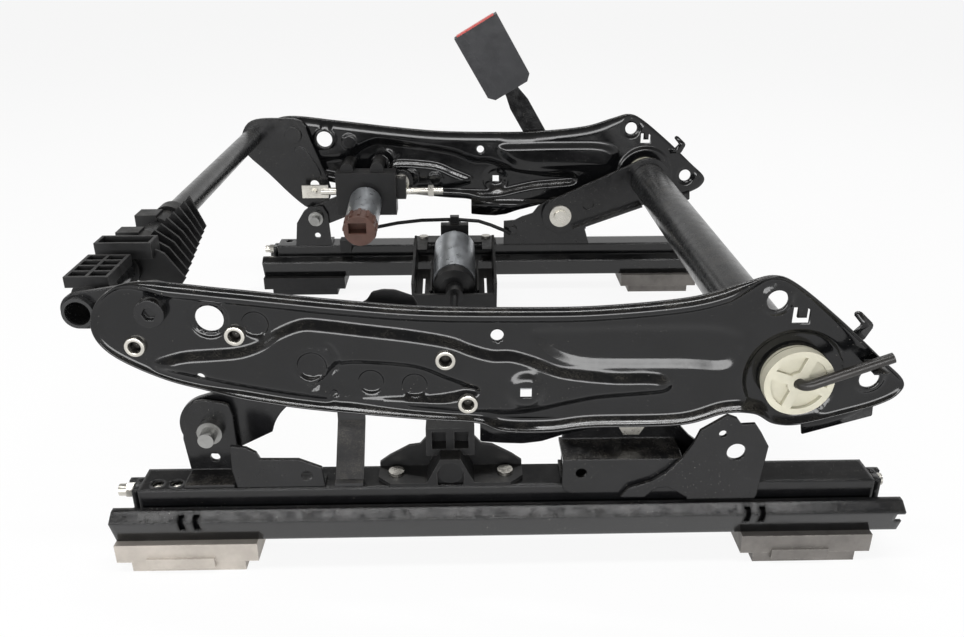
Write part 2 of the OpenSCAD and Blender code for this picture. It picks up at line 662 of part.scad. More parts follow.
// Ball cages: a ladder on each side rail, with the balls in its holes
cage_len = 210;
cage_t = 1;
cage_pitch = 60;
module ball_spots() {
    for (s = [-1, 1], side = [-1, 1], i = [-1.5 : 1 : 1.5])
        translate([i * cage_pitch, s * rail_y + side * ball_s, ball_z]) children();
}
module ball_cages() {
    strip = 6.4;
    color("#d9d6c8") difference() {
        for (s = [-1, 1]) translate([-cage_len / 2, s * rail_y, ball_z - cage_t / 2]) {
            for (side = [-1, 1])
                translate([0, side * ball_s - strip / 2, 0]) cube([cage_len, strip, cage_t]);
            for (i = [0, 0.5, 1])
                translate([i * (cage_len - 8), -ball_s, 0]) cube([8, 2 * ball_s, cage_t]);
        }
        ball_spots() cylinder(r = ball_d / 2 + 0.15, h = 3 * cage_t, center = true);
    }
}
module rail_balls() { color("#d0d2d4") ball_spots() sphere(d = ball_d); }

// Rear tube across the seat, with its welded links and the cap on its left end
tube_end = flange_y - 0.5;
module rear_tube() {
    color("#26272a") difference() {
        bar_y(rear_up, -tube_end, tube_end - 4, rear_tube_r);
        bar_y(rear_up, -tube_end - 1, tube_end, rear_tube_r - rear_tube_t);
    }
}
module rear_link() {
    hem = 9;
    low_r = 20;
    up_r = rear_tube_r + 6;
    n = normal(rear_low, rear_up);
    u = unit(link_v);
    difference() {
        union() {
            link_plate(rear_low, rear_up, low_r, up_r, rear_link_y, rear_link_t);
            // Turned lower edge
            plate(rear_link_y - hem, hem + 1) polygon([rear_low + u * 8 - n * (low_r - 0.6),
                rear_low + u * 8 - n * (low_r - 3.6), rear_up - u * 16 - n * (up_r - 4.6),
                rear_up - u * 16 - n * (up_r - 1.6)]);
        }
        bar_y(rear_low, rear_link_y - 12, rear_link_y + rear_link_t + 1, pivot_r + run_fit);
        bar_y(rear_up, rear_link_y - 12, rear_link_y + rear_link_t + 1, rear_tube_r);
        bar_y(rear_low + 33 * u, rear_link_y - 1, rear_link_y + rear_link_t / 2, 6);
    }
}
module rear_link_left() { color("#202123") left() rear_link(); }
module rear_link_right() { color("#202123") rear_link(); }
cap_r = rear_tube_r + 3;
cap_y0 = web_y + sheet_t + 2.5;
cap_y1 = tube_end + 4;
module tube_cap() {
    color("#d6d2bd") left() difference() {
        bar_y(rear_up, cap_y0, cap_y1, cap_r);
        bar_y(rear_up, cap_y0 - 1, tube_end, rear_tube_r);
        bar_y(rear_up, cap_y0, cap_y1 + 1, bar_r + 0.3);
        // Four pockets that leave a rim, a hub and four spokes
        difference() {
            bar_y(rear_up, cap_y1 - 3, cap_y1 + 1, cap_r - 4);
            bar_y(rear_up, cap_y1 - 4, cap_y1 + 2, bar_r + 4);
            for (a = [20, 110])
                translate([rear_up[0], 0, rear_up[1]]) rotate([0, a, 0])
                    box([-3, cap_y1 - 4, -cap_r], [3, cap_y1 + 2, cap_r]);
        }
    }
}

// Front links; the left one carries the gear sector round its upper pivot
module front_link(side) {
    y0 = front_link_y[side];
    n = normal(front_low, front_up);
    u = unit(link_v);
    difference() {
        union() {
            link_plate(front_low, front_up, front_link_r[side], 13.5, y0, front_link_t);
            if (side == 0) plate(y0, front_link_t) intersection() {
                translate(front_up) polygon(gear_points(sector_teeth, gear_dir));
                translate(front_up) polygon([[0, 0], [45 * cos(-54), 45 * sin(-54)], [60, -10], [45 * cos(18), 45 * sin(18)]]);
            }
        }
        bar_y(front_low, y0 - 1, y0 + front_link_t + 1, pivot_r + run_fit);
        bar_y(front_up, y0 - 1, y0 + front_link_t + 1, link_pin_r + run_fit);
        // Hollowed lower edge of the wide link
        if (side == 0) bar_y(front_low + 62 * u - 40 * n, y0 - 1, y0 + front_link_t + 1, 36);
    }
}
module front_link_left() { color("#1c1d1f") left() front_link(0); }
module front_link_right() { color("#1c1d1f") front_link(1); }
// Pinion on the output shaft of the height gearbox
lift_box_y = front_link_y[0] + front_link_t + 3;
module lift_pinion() {
    color("#9a9b98") left() {
        plate(front_link_y[0], front_link_t) translate(pinion_at)
            polygon(gear_points(pinion_teeth, gear_dir + 180 + 180 / pinion_teeth));
        bar_y(pinion_at, front_link_y[0] + front_link_t, lift_box_y + 6, 4);
    }
}

// Outline of a side member through its main points, clockwise from the front end
member_points = [[-240, 168], [-231, 187], [-208, 196], [-157, 191], [-99, 184], [-47, 179], [10, 177.5],
    [59, 178], [112, 183], [143, 192], [160, 196], [175, 190], [204, 167], [233, 141], [249, 126], [247, 116],
    [236, 109], [218, 103], [189, 95.5], [172, 96.5], [158, 105], [140, 106], [112, 98], [57, 97], [31, 94], [2, 95],
    [-14, 101.5], [-43, 104], [-94, 109.7], [-131, 115], [-178, 125], [-206, 134.5], [-232, 150.5]];
panel_points = [[-206, 139], [-178, 147], [-150, 154], [-126, 167], [-95, 174], [-60, 171], [-40, 167], [-24, 158],
    [-12, 146], [2, 139], [18, 138], [42, 134.5], [70, 132], [90, 131], [100, 128.5], [104, 124], [100, 119.5],
    [90, 117.5], [70, 116], [42, 112], [15, 105], [-20, 103], [-43, 105.6], [-94, 111.5], [-131, 119], [-178, 130]];
recess_points = [[-107, 128], [-102, 139], [-90, 143], [-60, 141], [-46, 138], [-33, 132], [-21, 127], [-14, 123.5],
    [-21, 121], [-32, 118.5], [-46, 117], [-68, 116.5], [-91, 116.8], [-102, 120.5]];
member_shift = [rear_up[0] - 181, rear_up[1] - 129];
module member_shape(p, n, d) {
    translate(member_shift) polygon(drawn_in(smooth(p, n), d));
}
module member_hole(p, r) {
    bar_y(p + member_shift, web_y - 1, panel_y + 1, r);
}
dome_at = [15.7, 124];
dome_r = 13;
module side_member(screws, screw_hole_r) {
    difference() {
        union() {
            plate(web_y, sheet_t) member_shape(member_points, 4, 0);
            // Flange turned outwards all round
            difference() {
                plate(web_y, flange_d) member_shape(member_points, 4, 0);
                plate(web_y - 1, flange_d + 2) member_shape(member_points, 4, sheet_t);
            }
            // Raised panel with its set-back recess
            plate(web_y, sheet_t + panel_d) member_shape(panel_points, 3, 0);
            // Ring round the rear tube and rings round the backrest holes
            bar_y(rear_up, web_y - 3, web_y + sheet_t, rear_tube_r + bush_t + 5);
            for (p = [recliner_up, recliner_low])
                bar_y(p, web_y, web_y + sheet_t + 1.5, recliner_r + 3);
            bar_y(dome_at + member_shift, panel_y - 1, panel_y + 2, dome_r);
            // Hook on the rear edge, tab under the rear end and strip under the lower edge
            plate(web_y, sheet_t) translate(member_shift) polygon([[208, 152], [220.4, 153], [224.6, 161.5],
                [224, 164], [215.5, 171.8], [212.5, 172], [211.4, 169.7], [217.2, 163.2], [212.1, 157.8], [204, 160]]);
            plate(web_y, sheet_t) translate(member_shift) polygon([[190, 97], [192, 87], [235, 100], [234, 110]]);
            plate(web_y, sheet_t) translate(member_shift) polygon([[-12, 103], [-12, 85], [2, 83.6], [15, 83],
                [27, 84.5], [40, 89], [60, 94], [79, 98.5], [79, 102]]);
        }
        // Hollow behind the panel, round the recess
        difference() {
            plate(web_y - 1, panel_d + 1) member_shape(panel_points, 3, sheet_t);
            plate(web_y - 2, panel_d + 3) member_shape(recess_points, 3, -sheet_t);
        }
        plate(web_y + sheet_t, panel_d + 3) member_shape(recess_points, 3, 0);
        bar_y(dome_at + member_shift, web_y - 1, panel_y, dome_r - sheet_t);
        // Holes and cut-outs
        bar_y(rear_up, web_y - 4, panel_y + 1, rear_tube_r + bush_t);
        for (p = [recliner_up, recliner_low])
            bar_y(p, web_y - 4, panel_y + 1, recliner_r);
        bar_y(tilt_at, web_y - 1, panel_y, tilt_bolt_r);
        member_hole([-171.2, 171.2], front_hole_r);
        member_hole([-1.7, 159], 4);
        member_hole([-179.3, 135.8], 2.5);
        member_hole([199.1, 104.6], 2.2);
        for (p = screws) bar_y(p, web_y - 1, panel_y + 1, screw_hole_r);
        plate(panel_y - 1, 5) translate(dome_at + member_shift) square(7, center = true);
        plate(web_y - 1, sheet_t + 2) translate(recliner_up + [16.3, -10.6]) difference() {
            square([10.5, 10.7], center = true);
            translate([0.5, 2]) square([5.5, 7], center = true);
        }
    }
}
// Lug under the bent end of the helper spring, on the left member only
bar_turn = 21;
bar_run_y = cap_y1 + bar_r + 2.2;
lug_dx = 45;
lug_half = 5;
lug_t = 2;
lug_gap = 0.45;
module spring_lug() {
    z1 = rear_up[1] + (lug_dx - lug_half) * tan(bar_turn) - bar_r / cos(bar_turn) - lug_gap;
    box([rear_up[0] + lug_dx - lug_half, web_y + 0.5, z1 - lug_t],
        [rear_up[0] + lug_dx + lug_half, bar_run_y + bar_r, z1]);
}
module side_member_left() {
    color("#131416") left() {
        side_member(screw_at, screw_r_big);
        spring_lug();
    }
}
module side_member_right() { color("#131416") side_member(box_legs, screw_r_small); }

// Bearing rings of the rear tube in the side members
module rear_bushes() {
    color("#cfcab4") for (s = [0, 1]) mirror([0, s, 0]) difference() {
        bar_y(rear_up, web_y - 3, web_y + sheet_t, rear_tube_r + bush_t);
        bar_y(rear_up, web_y - 4, web_y + sheet_t + 1, rear_tube_r + bush_fit);
    }
}
// Helper spring: a straight bar in the rear tube with a bent end over the cap
module torsion_bar() {
    run = 55;
    bend_r = 6;
    color("#2b2c2d") left() translate([rear_up[0], 0, rear_up[1]]) rotate([0, -bar_turn, 0]) {
        translate([0, bar_run_y - bend_r, 0]) rotate([90, 0, 0]) cylinder(r = bar_r, h = bar_run_y + rail_y - 60);
        translate([bend_r, bar_run_y - bend_r, 0]) rotate([0, 0, 90]) rotate_extrude(angle = 90)
            translate([bend_r, 0]) circle(r = bar_r);
        translate([bend_r, bar_run_y, 0]) rotate([0, 90, 0]) cylinder(r = bar_r, h = run - bend_r);
    }
}
// Shoulder bolts of the tilt arms
module tilt_pivot_bolts() {
    head_r = 8.7;
    head_y = web_y + sheet_t + 6;
    color("#1a1b1d") for (s = [0, 1]) mirror([0, s, 0]) {
        difference() {
            bar_y(tilt_at, web_y + sheet_t, head_y, head_r);
            translate([tilt_at[0], head_y + 1, tilt_at[1]]) rotate([90, 0, 0]) cylinder(r = 4.2, h = 4, $fn = 6);
        }
        bar_y(tilt_at, arm_y - 3, web_y + sheet_t, tilt_bolt_r);
        bar_y(tilt_at, arm_y + arm_t + 0.3, web_y, tilt_bolt_r + 4);
        bar_y(tilt_at, arm_y - 3, arm_y - 0.3, tilt_bolt_r + 3);
    }
}
// Upper pins of the front links
module link_pins() {
    color("#8d8c88") for (side = [0, 1]) mirror([0, side == 0 ? 1 : 0, 0]) {
        y0 = front_link_y[side];
        bar_y(front_up, y0 - 0.3, web_y, link_pin_r);
        bar_y(front_up, y0 + front_link_t + 0.3, web_y, link_pin_r + 3);
        bar_y(front_up, y0 - 2.6, y0 - 0.3, link_pin_r + 3);
    }
}
// Screws in the side members, and those of the tilt gearbox
screw_at = [for (p = [[-32.7, 145.5], [-19.5, 115.5], [-216.3, 154.7], [-156.8, 161.2]]) p + member_shift];
screw_r_big = 4;
screw_r_small = 3;
module frame_screws() {
    color("#d5d6d3") {
        for (i = [0 : 3]) left() {
            face = i < 2 ? panel_y : web_y + sheet_t;
            difference() {
                bar_y(screw_at[i], face, face + 3, 5.3);
                translate([screw_at[i][0], face + 4, screw_at[i][1]]) rotate([90, 0, 0]) cylinder(r = 2.6, h = 3, $fn = 6);
            }
            bar_y(screw_at[i], web_y - (i < 2 ? 0 : 4), face, screw_r_big);
        }
        for (p = box_legs) {
            bar_y(p, panel_y - sheet_t, panel_y + 2, screw_r_small);
            bar_y(p, panel_y, panel_y + 2, 5);
        }
    }
}

// Height drive inside the left side member
lift_z = pinion_at[1] + 7;
module lift_gearbox() {
    x0 = pinion_at[0] - 20;
    x1 = pinion_at[0] + 46;
    color("#2c2d2f") left() difference() {
        union() {
            box([x0, lift_box_y, pinion_at[1] - 8], [x1, web_y, lift_z + 11]);
            bar_y(pinion_at, lift_box_y, web_y - 2, 15);
        }
        bar_y(pinion_at, lift_box_y - 1, lift_box_y + 6.2, 4.1);
    }
}
module lift_motor() {
    x1 = pinion_at[0] + 46;
    can = 60;
    color("#a9aaab") left() translate([x1, web_y - lift_motor_r - 2, lift_z]) rotate([0, 90, 0]) {
        cylinder(r = lift_motor_r, h = can);
        translate([0, 0, can]) cylinder(r = lift_motor_r - 9, h = 4);
    }
}

// Tilt drive on the right side member: gear housing on two legs, motor towards the middle
box_mid = [drive_at[0] + 58, drive_at[1] + 10];
box_legs = [box_mid + [-20, 16], box_mid + [12, 17]];
motor_at = box_mid - [0, 14];
box_y0 = rail_y - 34;
box_y1 = spindle_y + spindle_r + 1;
module tilt_gearbox() {
    color("#1d1e20") difference() {
        union() {
            box([box_mid[0] - 32, box_y0, box_mid[1] - 32], [box_mid[0] + 32, box_y1, box_mid[1] + 14]);
            bar_y(motor_at, box_y0, box_y1, 23);
            for (p = box_legs) {
                bar_y(p, box_y0 + 6, panel_y - sheet_t, 7);
                box([p[0] - 7, box_y0 + 6, box_mid[1]], [p[0] + 7, box_y1, p[1]]);
            }
            // Rear guide of the spindle
            box([box_mid[0] + 30, spindle_y - 8, drive_at[1] - 7], [box_mid[0] + 42, box_y1, drive_at[1] + 15]);
        }
        translate([box_mid[0] - 60, spindle_y, drive_at[1]]) rotate([0, 90, 0])
            cylinder(r = spindle_r + run_fit, h = 140);
    }
}
tilt_motor_drop = 8;
module on_tilt_axis() {
    translate([motor_at[0], box_y0, motor_at[1]]) rotate([90 + tilt_motor_drop, 0, 0]) children();
}
tilt_neck = 7;
module tilt_motor() {
    color("#8e9496") difference() {
        on_tilt_axis() {
            translate([0, 0, -6]) cylinder(r = tilt_motor_r - 4, h = tilt_neck + 6);
            translate([0, 0, tilt_neck]) cylinder(r = tilt_motor_r, h = tilt_motor_len);
        }
        box([motor_at[0] - 30, box_y0, motor_at[1] - 30], [motor_at[0] + 30, box_y0 + 20, motor_at[1] + 30]);
    }
}
module tilt_motor_cap() {
    z0 = tilt_neck + tilt_motor_len;
    cap_h = 17;
    color("#6b463a") on_tilt_axis() difference() {
        union() {
            translate([0, 0, z0]) cylinder(r = tilt_motor_r - 1, h = cap_h);
            for (a = [0 : 30 : 330]) rotate([0, 0, a])
                box([tilt_motor_r - 3, -1.5, z0], [tilt_motor_r + 0.5, 1.5, z0 + cap_h - 4]);
        }
        box([-11, -3, z0 + 5], [7, 9, z0 + cap_h + 1]);
    }
}
// Threaded spindle with its flat end plate and the stud that drives the right arm
module tilt_spindle() {
    plate_t = 3;
    plate_y = spindle_y - plate_t / 2;
    rear = box_mid[0] + 82;
    color("#bdbab0") {
        difference() {
            translate([drive_at[0] + 8, spindle_y, drive_at[1]]) rotate([0, 90, 0])
                cylinder(r = spindle_r, h = rear - drive_at[0] - 8);
            box([drive_at[0] - 20, plate_y, drive_at[1] - 10], [drive_at[0] + 15, plate_y + plate_t, drive_at[1] + 10]);
        }
        box([drive_at[0] - 13, plate_y, drive_at[1] - 7], [drive_at[0] + 15, plate_y + plate_t, drive_at[1] + 7]);
        bar_y(drive_at, spindle_y - 8, arm_y + arm_t - 0.4, stud_r);
        translate([box_mid[0] + 66, spindle_y, drive_at[1]]) rotate([0, 90, 0])
            cylinder(r = spindle_r + 2.5, h = 6, $fn = 6);
    }
}
stud_r = 3;

// Front tube, its arms and the rib moulding on it
tube_left = web_y - 1.2;
module front_tube() {
    color("#47494b") difference() {
        bar_y(tube_at, -tube_left, arm_y, front_tube_r);
        bar_y(tube_at, -tube_left - 1, arm_y - 3, front_tube_r - front_tube_t);
    }
}
module tilt_arm_left() {
    color("#2a2b2d") left() difference() {
        link_plate(tilt_at, tube_at, 15, front_tube_r + 2, arm_y, arm_t);
        bar_y(tilt_at, arm_y - 1, arm_y + arm_t + 1, tilt_bolt_r + run_fit);
        bar_y(tube_at, arm_y - 1, arm_y + arm_t + 1, front_tube_r);
    }
}
// Right arm: a large formed plate with a slot for the stud of the spindle
module tilt_arm_right() {
    g = tilt_at;
    slot_dir = unit(drive_at - tilt_at);
    points = [[-56, -6], [-50, 10], [-38, 17], [-14, 18], [10, 15], [18, -6], [34, -50], [36, -66], [28, -78],
        [12, -82], [-6, -68], [-30, -42], [-52, -20]];
    color("#2e2f31") difference() {
        union() {
            plate(arm_y, arm_t) translate(g) polygon(smooth(points, 3));
            // Stiffening bead across the plate
            plate(arm_y - 2, 2) translate(g) polygon(smooth([[0, -15], [10, -14], [19, -26], [27, -44], [15, -46], [3, -29]], 3));
        }
        bar_y(tilt_at, arm_y - 3, arm_y + arm_t + 1, tilt_bolt_r + run_fit);
        link_slot(drive_at - 4 * slot_dir, drive_at + 4 * slot_dir, stud_r + slot_room);
    }
}
module link_slot(p, q, r) {
    link_plate(p, q, r, r, arm_y - 3, arm_t + 4);
}
// Rib moulding: sleeves on the tube, a deck of ribs, a raised clip, two blocks and a comb of fins
deck_t = 2;
module rib_deck(a, b, rows, cols) {
    step_x = (b[0] - a[0] - deck_t) / rows;
    step_y = (b[1] - a[1] - deck_t) / cols;
    for (i = [0 : rows])
        box([a[0] + i * step_x, a[1], a[2]], [a[0] + i * step_x + deck_t, b[1], b[2]]);
    for (j = [0 : cols])
        box([a[0], a[1] + j * step_y, a[2]], [b[0], a[1] + j * step_y + deck_t, b[2]]);
}
moulding_len = 170;
sleeve_w = 14;
fin_pitch = 14;
fins = 8;
module ribbed_bracket() {
    out_x = -13.8;
    low = front_tube_r - 1;
    comb_y = moulding_len - fins * fin_pitch;
    comb_x = front_tube_r - 1;
    color("#1e1f20") translate([tube_at[0], 15.5 - rail_y, tube_at[1]]) difference() {
        union() {
            rib_deck([out_x, 0, low], [13.2, 40, front_tube_r + 6], 2, 4);
            rib_deck([out_x, 50, low], [23, 66, front_tube_r + 10], 1, 1);
            for (y = [[87, 100], [126, 142]])
                box([out_x, y[0], low - 6], [2, y[1], front_tube_r + 5]);
            // Comb behind the tube, its fins shorter towards the middle of the seat
            for (j = [0 : fins])
                plate(comb_y + j * fin_pitch - deck_t, deck_t) polygon([[comb_x, -9], [comb_x, 10], [comb_x + 6, 17],
                    [comb_x + 20 - j, 10 - j], [comb_x + 32 - 2 * j, -8], [comb_x + 26 - 2 * j, -16]]);
            box([comb_x, comb_y - deck_t, -8], [comb_x + 4, moulding_len, 8]);
            for (y = [2, 51, 86, 127, moulding_len - sleeve_w])
                bar_y([0, 0], y, y + sleeve_w, front_tube_r + 3);
        }
        bar_y([0, 0], -1, moulding_len + 1, front_tube_r);
    }
}

// Belt buckle on its stalk, leaning to the front, outside the right side member
stalk_at = [87, 126.5] + member_shift;
stalk_y = flange_y + 1;
stalk_t = 4;
buckle_y = stalk_y + stalk_t / 2;
button_d = 12;
button_gap = 0.35;
pocket = 15;
proud = 1.5;
module on_buckle() {
    translate([stalk_at[0], 0, stalk_at[1]]) rotate([0, -buckle_lean, 0]) children();
}
module buckle_stalk() {
    color("#242527") on_buckle() {
        plate(stalk_y, stalk_t) polygon([[-11, -8], [-11, stalk_len - 18], [-8, stalk_len - 3], [-8, stalk_len + 12],
            [8, stalk_len + 12], [8, stalk_len - 3], [11, stalk_len - 18], [11, -8], [6, -13], [-6, -13]]);
        bar_y([0, 0], panel_y, stalk_y, 9);
        bar_y([0, 0], stalk_y + stalk_t, stalk_y + stalk_t + 5, 8);
    }
}
module buckle_body() {
    z1 = stalk_len + buckle_len;
    y0 = buckle_y - buckle_t / 2;
    half = buckle_w / 2;
    color("#34363a") on_buckle() difference() {
        plate(y0, buckle_t) polygon([[-half, stalk_len + 6], [-half, z1], [half, z1], [half, stalk_len + 6],
            [half - 6, stalk_len], [-half + 6, stalk_len]]);
        // Seat of the stalk, pocket of the button and slot for the tongue
        box([-8, stalk_y, stalk_len - 1], [8, stalk_y + stalk_t, stalk_len + 12]);
        box([-half + 3, y0 + 2, z1 - pocket], [half - 3, y0 + 2 + button_d, z1 + 1]);
        box([-14, y0 + 4 + button_d, z1 - 32], [14, y0 + buckle_t - 1.2, z1 + 1]);
    }
}
module buckle_button() {
    z1 = stalk_len + buckle_len;
    y0 = buckle_y - buckle_t / 2 + 2;
    half = buckle_w / 2 - 3 - button_gap;
    color("#c24a45") on_buckle()
        box([-half, y0 + button_gap, z1 - pocket + 6], [half, y0 + button_d - button_gap, z1 + proud]);
}

lower_rail_left();
lower_rail_right();
foot_front_left();
foot_rear_left();
foot_front_right();
foot_rear_right();
lead_screw_left();
lead_screw_right();
screw_brackets();
upper_rail_left();
upper_rail_right();
slide_gearbox_left();
slide_gearbox_right();
gearbox_saddle_left();
gearbox_saddle_right();
saddle_rivets();
slide_motor();
slide_motor_cap();
motor_tray();
drive_cable();
front_bracket_left();
front_bracket_right();
front_stay_left();
rear_bracket_left();
rear_bracket_right();
belt_anchor_plate();
front_pivot_pins();
rear_pivot_bolts();
harness_cable();
harness_post();
ball_cages();
rail_balls();
rear_tube();
rear_link_left();
rear_link_right();
tube_cap();
front_link_left();
front_link_right();
lift_pinion();
side_member_left();
side_member_right();
rear_bushes();
torsion_bar();
tilt_pivot_bolts();
link_pins();
frame_screws();
lift_gearbox();
lift_motor();
tilt_gearbox();
tilt_motor();
tilt_motor_cap();
tilt_spindle();
front_tube();
tilt_arm_left();
tilt_arm_right();
ribbed_bracket();
buckle_stalk();
buckle_body();
buckle_button();
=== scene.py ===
"""Looks of a powered car seat base frame: pressed black side members on slide rails, motors and buckle."""

import math

import bmesh
import bpy
import numpy as np
from mathutils import Matrix, Vector
from mathutils.geometry import delaunay_2d_cdt


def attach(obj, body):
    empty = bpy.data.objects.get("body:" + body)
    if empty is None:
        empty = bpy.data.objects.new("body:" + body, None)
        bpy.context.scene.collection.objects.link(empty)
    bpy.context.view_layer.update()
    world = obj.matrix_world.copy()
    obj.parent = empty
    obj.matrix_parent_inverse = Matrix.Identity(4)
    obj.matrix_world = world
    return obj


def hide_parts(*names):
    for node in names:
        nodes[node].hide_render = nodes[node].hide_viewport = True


MM = 0.001
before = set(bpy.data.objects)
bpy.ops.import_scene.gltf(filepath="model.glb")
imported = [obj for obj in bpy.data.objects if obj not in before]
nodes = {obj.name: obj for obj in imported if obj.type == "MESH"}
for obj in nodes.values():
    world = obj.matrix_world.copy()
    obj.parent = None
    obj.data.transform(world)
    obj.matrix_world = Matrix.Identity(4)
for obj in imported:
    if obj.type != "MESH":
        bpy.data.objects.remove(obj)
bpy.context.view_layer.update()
scene = bpy.context.scene


# Camera at the photograph's place, solved on the rails and tubes
CAM_AT = Vector((-0.0212, -0.7120, 0.3810))
CAM_YAW, CAM_PITCH, CAM_ROLL = -1.2728, -24.1096, 0.0752
CAM_LENS = 32.62


def make_camera():
    turn = (Matrix.Rotation(math.radians(CAM_YAW), 3, "Z") @ Matrix.Rotation(math.radians(CAM_PITCH), 3, "X")
            @ Matrix.Rotation(math.radians(CAM_ROLL), 3, "Y"))
    right, forward, up = turn.col
    data = bpy.data.cameras.new("camera")
    data.sensor_width = 36
    data.lens = CAM_LENS
    data.clip_start = 0.01
    camera = bpy.data.objects.new("camera", data)
    rows = [[right[i], up[i], -forward[i], CAM_AT[i]] for i in range(3)] + [[0, 0, 0, 1]]
    camera.matrix_world = Matrix(rows)
    scene.collection.objects.link(camera)
    scene.camera = camera


make_camera()


class Nodes:
    """Short calls for building one material's node tree."""

    def __init__(self, name):
        self.material = bpy.data.materials.new(name)
        self.material.use_nodes = True
        self.tree = self.material.node_tree
        self.shader = self.tree.nodes["Principled BSDF"]
        self.coords = self.tree.nodes.new("ShaderNodeTexCoord").outputs["Object"]
        self.geometry = self.tree.nodes.new("ShaderNodeNewGeometry")

    def link(self, source, target):
        self.tree.links.new(source, target)

    def noise(self, scale, detail=4, rough=0.6):
        node = self.tree.nodes.new("ShaderNodeTexNoise")
        node.inputs["Scale"].default_value = scale
        node.inputs["Detail"].default_value = detail
        node.inputs["Roughness"].default_value = rough
        self.link(self.coords, node.inputs["Vector"])
        return node.outputs["Fac"]

    def ramp(self, value, low, high, out_low=0.0, out_high=1.0):
        node = self.tree.nodes.new("ShaderNodeMapRange")
        node.interpolation_type = "SMOOTHSTEP"
        for name, number in (("From Min", low), ("From Max", high), ("To Min", out_low), ("To Max", out_high)):
            node.inputs[name].default_value = number
        self.link(value, node.inputs["Value"])
        return node.outputs["Result"]

    def math(self, kind, a, b):
        node = self.tree.nodes.new("ShaderNodeMath")
        node.operation = kind
        node.use_clamp = True
        for socket, value in zip(node.inputs, (a, b)):
            if isinstance(value, (int, float)):
                socket.default_value = value
            else:
                self.link(value, socket)
        return node.outputs[0]

    def mix(self, factor, a, b):
        node = self.tree.nodes.new("ShaderNodeMix")
        node.data_type = "RGBA"
        self.link(factor, node.inputs[0])
        for socket, value in ((node.inputs[6], a), (node.inputs[7], b)):
            if isinstance(value, tuple):
                socket.default_value = (*value, 1)
            else:
                self.link(value, socket)
        return node.outputs[2]

    def upward(self):
        """0 on walls and undersides, 1 on faces that look up."""
        split = self.tree.nodes.new("ShaderNodeSeparateXYZ")
        self.link(self.geometry.outputs["Normal"], split.inputs[0])
        return self.ramp(split.outputs["Z"], 0.15, 0.9)

    def bump(self, *layers, soft=0.0):
        normal = None
        if soft:
            edge = self.tree.nodes.new("ShaderNodeBevel")
            edge.samples = 4
            edge.inputs["Radius"].default_value = soft
            normal = edge.outputs["Normal"]
        for height, strength, distance in layers:
            node = self.tree.nodes.new("ShaderNodeBump")
            node.inputs["Strength"].default_value = strength
            node.inputs["Distance"].default_value = distance
            self.link(height, node.inputs["Height"])
            if normal:
                self.link(normal, node.inputs["Normal"])
            normal = node.outputs["Normal"]
        self.link(normal, self.shader.inputs["Normal"])


def finish(name, color, rough, metal=0.0, vary=0.25, grain=(900, 0.1, 0.0002), dust=0.0, dust_color=(0.16, 0.145, 0.12),
           speck=0.0, specular=0.5, wear=0.0, wear_color=(0.35, 0.34, 0.33), soft=0.0):
    """A worn surface: blotchy colour, uneven gloss, grain, dust on top faces, specks, rubbed and softened edges."""
    n = Nodes(name)
    dark = tuple(c * (1 - vary) for c in color)
    light = tuple(min(1.0, c * (1 + vary)) for c in color)
    blotch = n.noise(38, 5, 0.62)
    tone = n.mix(n.ramp(blotch, 0.3, 0.7), dark, light)
    gloss = n.ramp(n.noise(120, 5, 0.65), 0.3, 0.7, rough[0], rough[1])
    if wear:
        edge = n.tree.nodes.new("ShaderNodeBevel")
        edge.samples = 4
        edge.inputs["Radius"].default_value = 0.0011
        dot = n.tree.nodes.new("ShaderNodeVectorMath")
        dot.operation = "DOT_PRODUCT"
        n.link(edge.outputs["Normal"], dot.inputs[0])
        n.link(n.geometry.outputs["Normal"], dot.inputs[1])
        turned = n.ramp(dot.outputs["Value"], 0.97, 0.8)
        rubbed = n.math("MULTIPLY", turned, n.ramp(n.noise(300, 4), 0.4, 0.62, 0, wear))
        tone = n.mix(rubbed, tone, wear_color)
    if dust:
        cloud = n.ramp(n.noise(55, 6, 0.7), 0.36, 0.72)
        fine = n.ramp(n.noise(1500, 3, 0.8), 0.42, 0.66)
        film = n.math("MULTIPLY", n.math("MULTIPLY", cloud, n.upward()), n.math("MULTIPLY", fine, dust))
        tone = n.mix(film, tone, dust_color)
        gloss = n.math("ADD", gloss, n.math("MULTIPLY", film, 0.5))
    if speck:
        dots = n.ramp(n.noise(1100, 1, 0.4), 0.74, 0.79, 0, speck)
        spots = n.math("MULTIPLY", dots, n.ramp(n.noise(30, 3), 0.45, 0.62))
        tone = n.mix(spots, tone, (0.42, 0.4, 0.36))
    n.link(tone, n.shader.inputs["Base Color"])
    n.link(gloss, n.shader.inputs["Roughness"])
    n.shader.inputs["Metallic"].default_value = metal
    n.shader.inputs["Specular IOR Level"].default_value = specular
    n.bump((n.noise(grain[0], 4, 0.7), grain[1], grain[2]), (blotch, 0.08, 0.0006), soft=soft)
    return n.material


ECOAT = finish("black_ecoat", (0.0036, 0.0037, 0.0041), (0.09, 0.17), vary=0.25, grain=(420, 0.05, 0.0002), dust=0.4,
               speck=0.5, specular=0.42)
BRACKET = finish("bracket_ecoat", (0.0055, 0.0055, 0.006), (0.15, 0.28), grain=(500, 0.08, 0.0002), dust=0.5, speck=0.5,
                 specular=0.45, soft=0.0012)
RAIL = finish("rail_black", (0.0045, 0.0046, 0.005), (0.1, 0.19), grain=(700, 0.05, 0.0002), dust=0.12, speck=0.6,
              specular=0.5, soft=0.0032)
CAST_LIGHT = finish("cast_light", (0.42, 0.385, 0.345), (0.45, 0.65), metal=0.35, vary=0.12, grain=(1400, 0.35, 0.0004),
                    dust=0.2, speck=0.2, wear=0.5, wear_color=(0.66, 0.63, 0.58))
CAST_GREY = finish("cast_grey", (0.15, 0.14, 0.13), (0.45, 0.68), metal=0.35, vary=0.18, grain=(1400, 0.35, 0.0004),
                   dust=0.3, speck=0.2, wear=0.6, wear_color=(0.4, 0.38, 0.35))
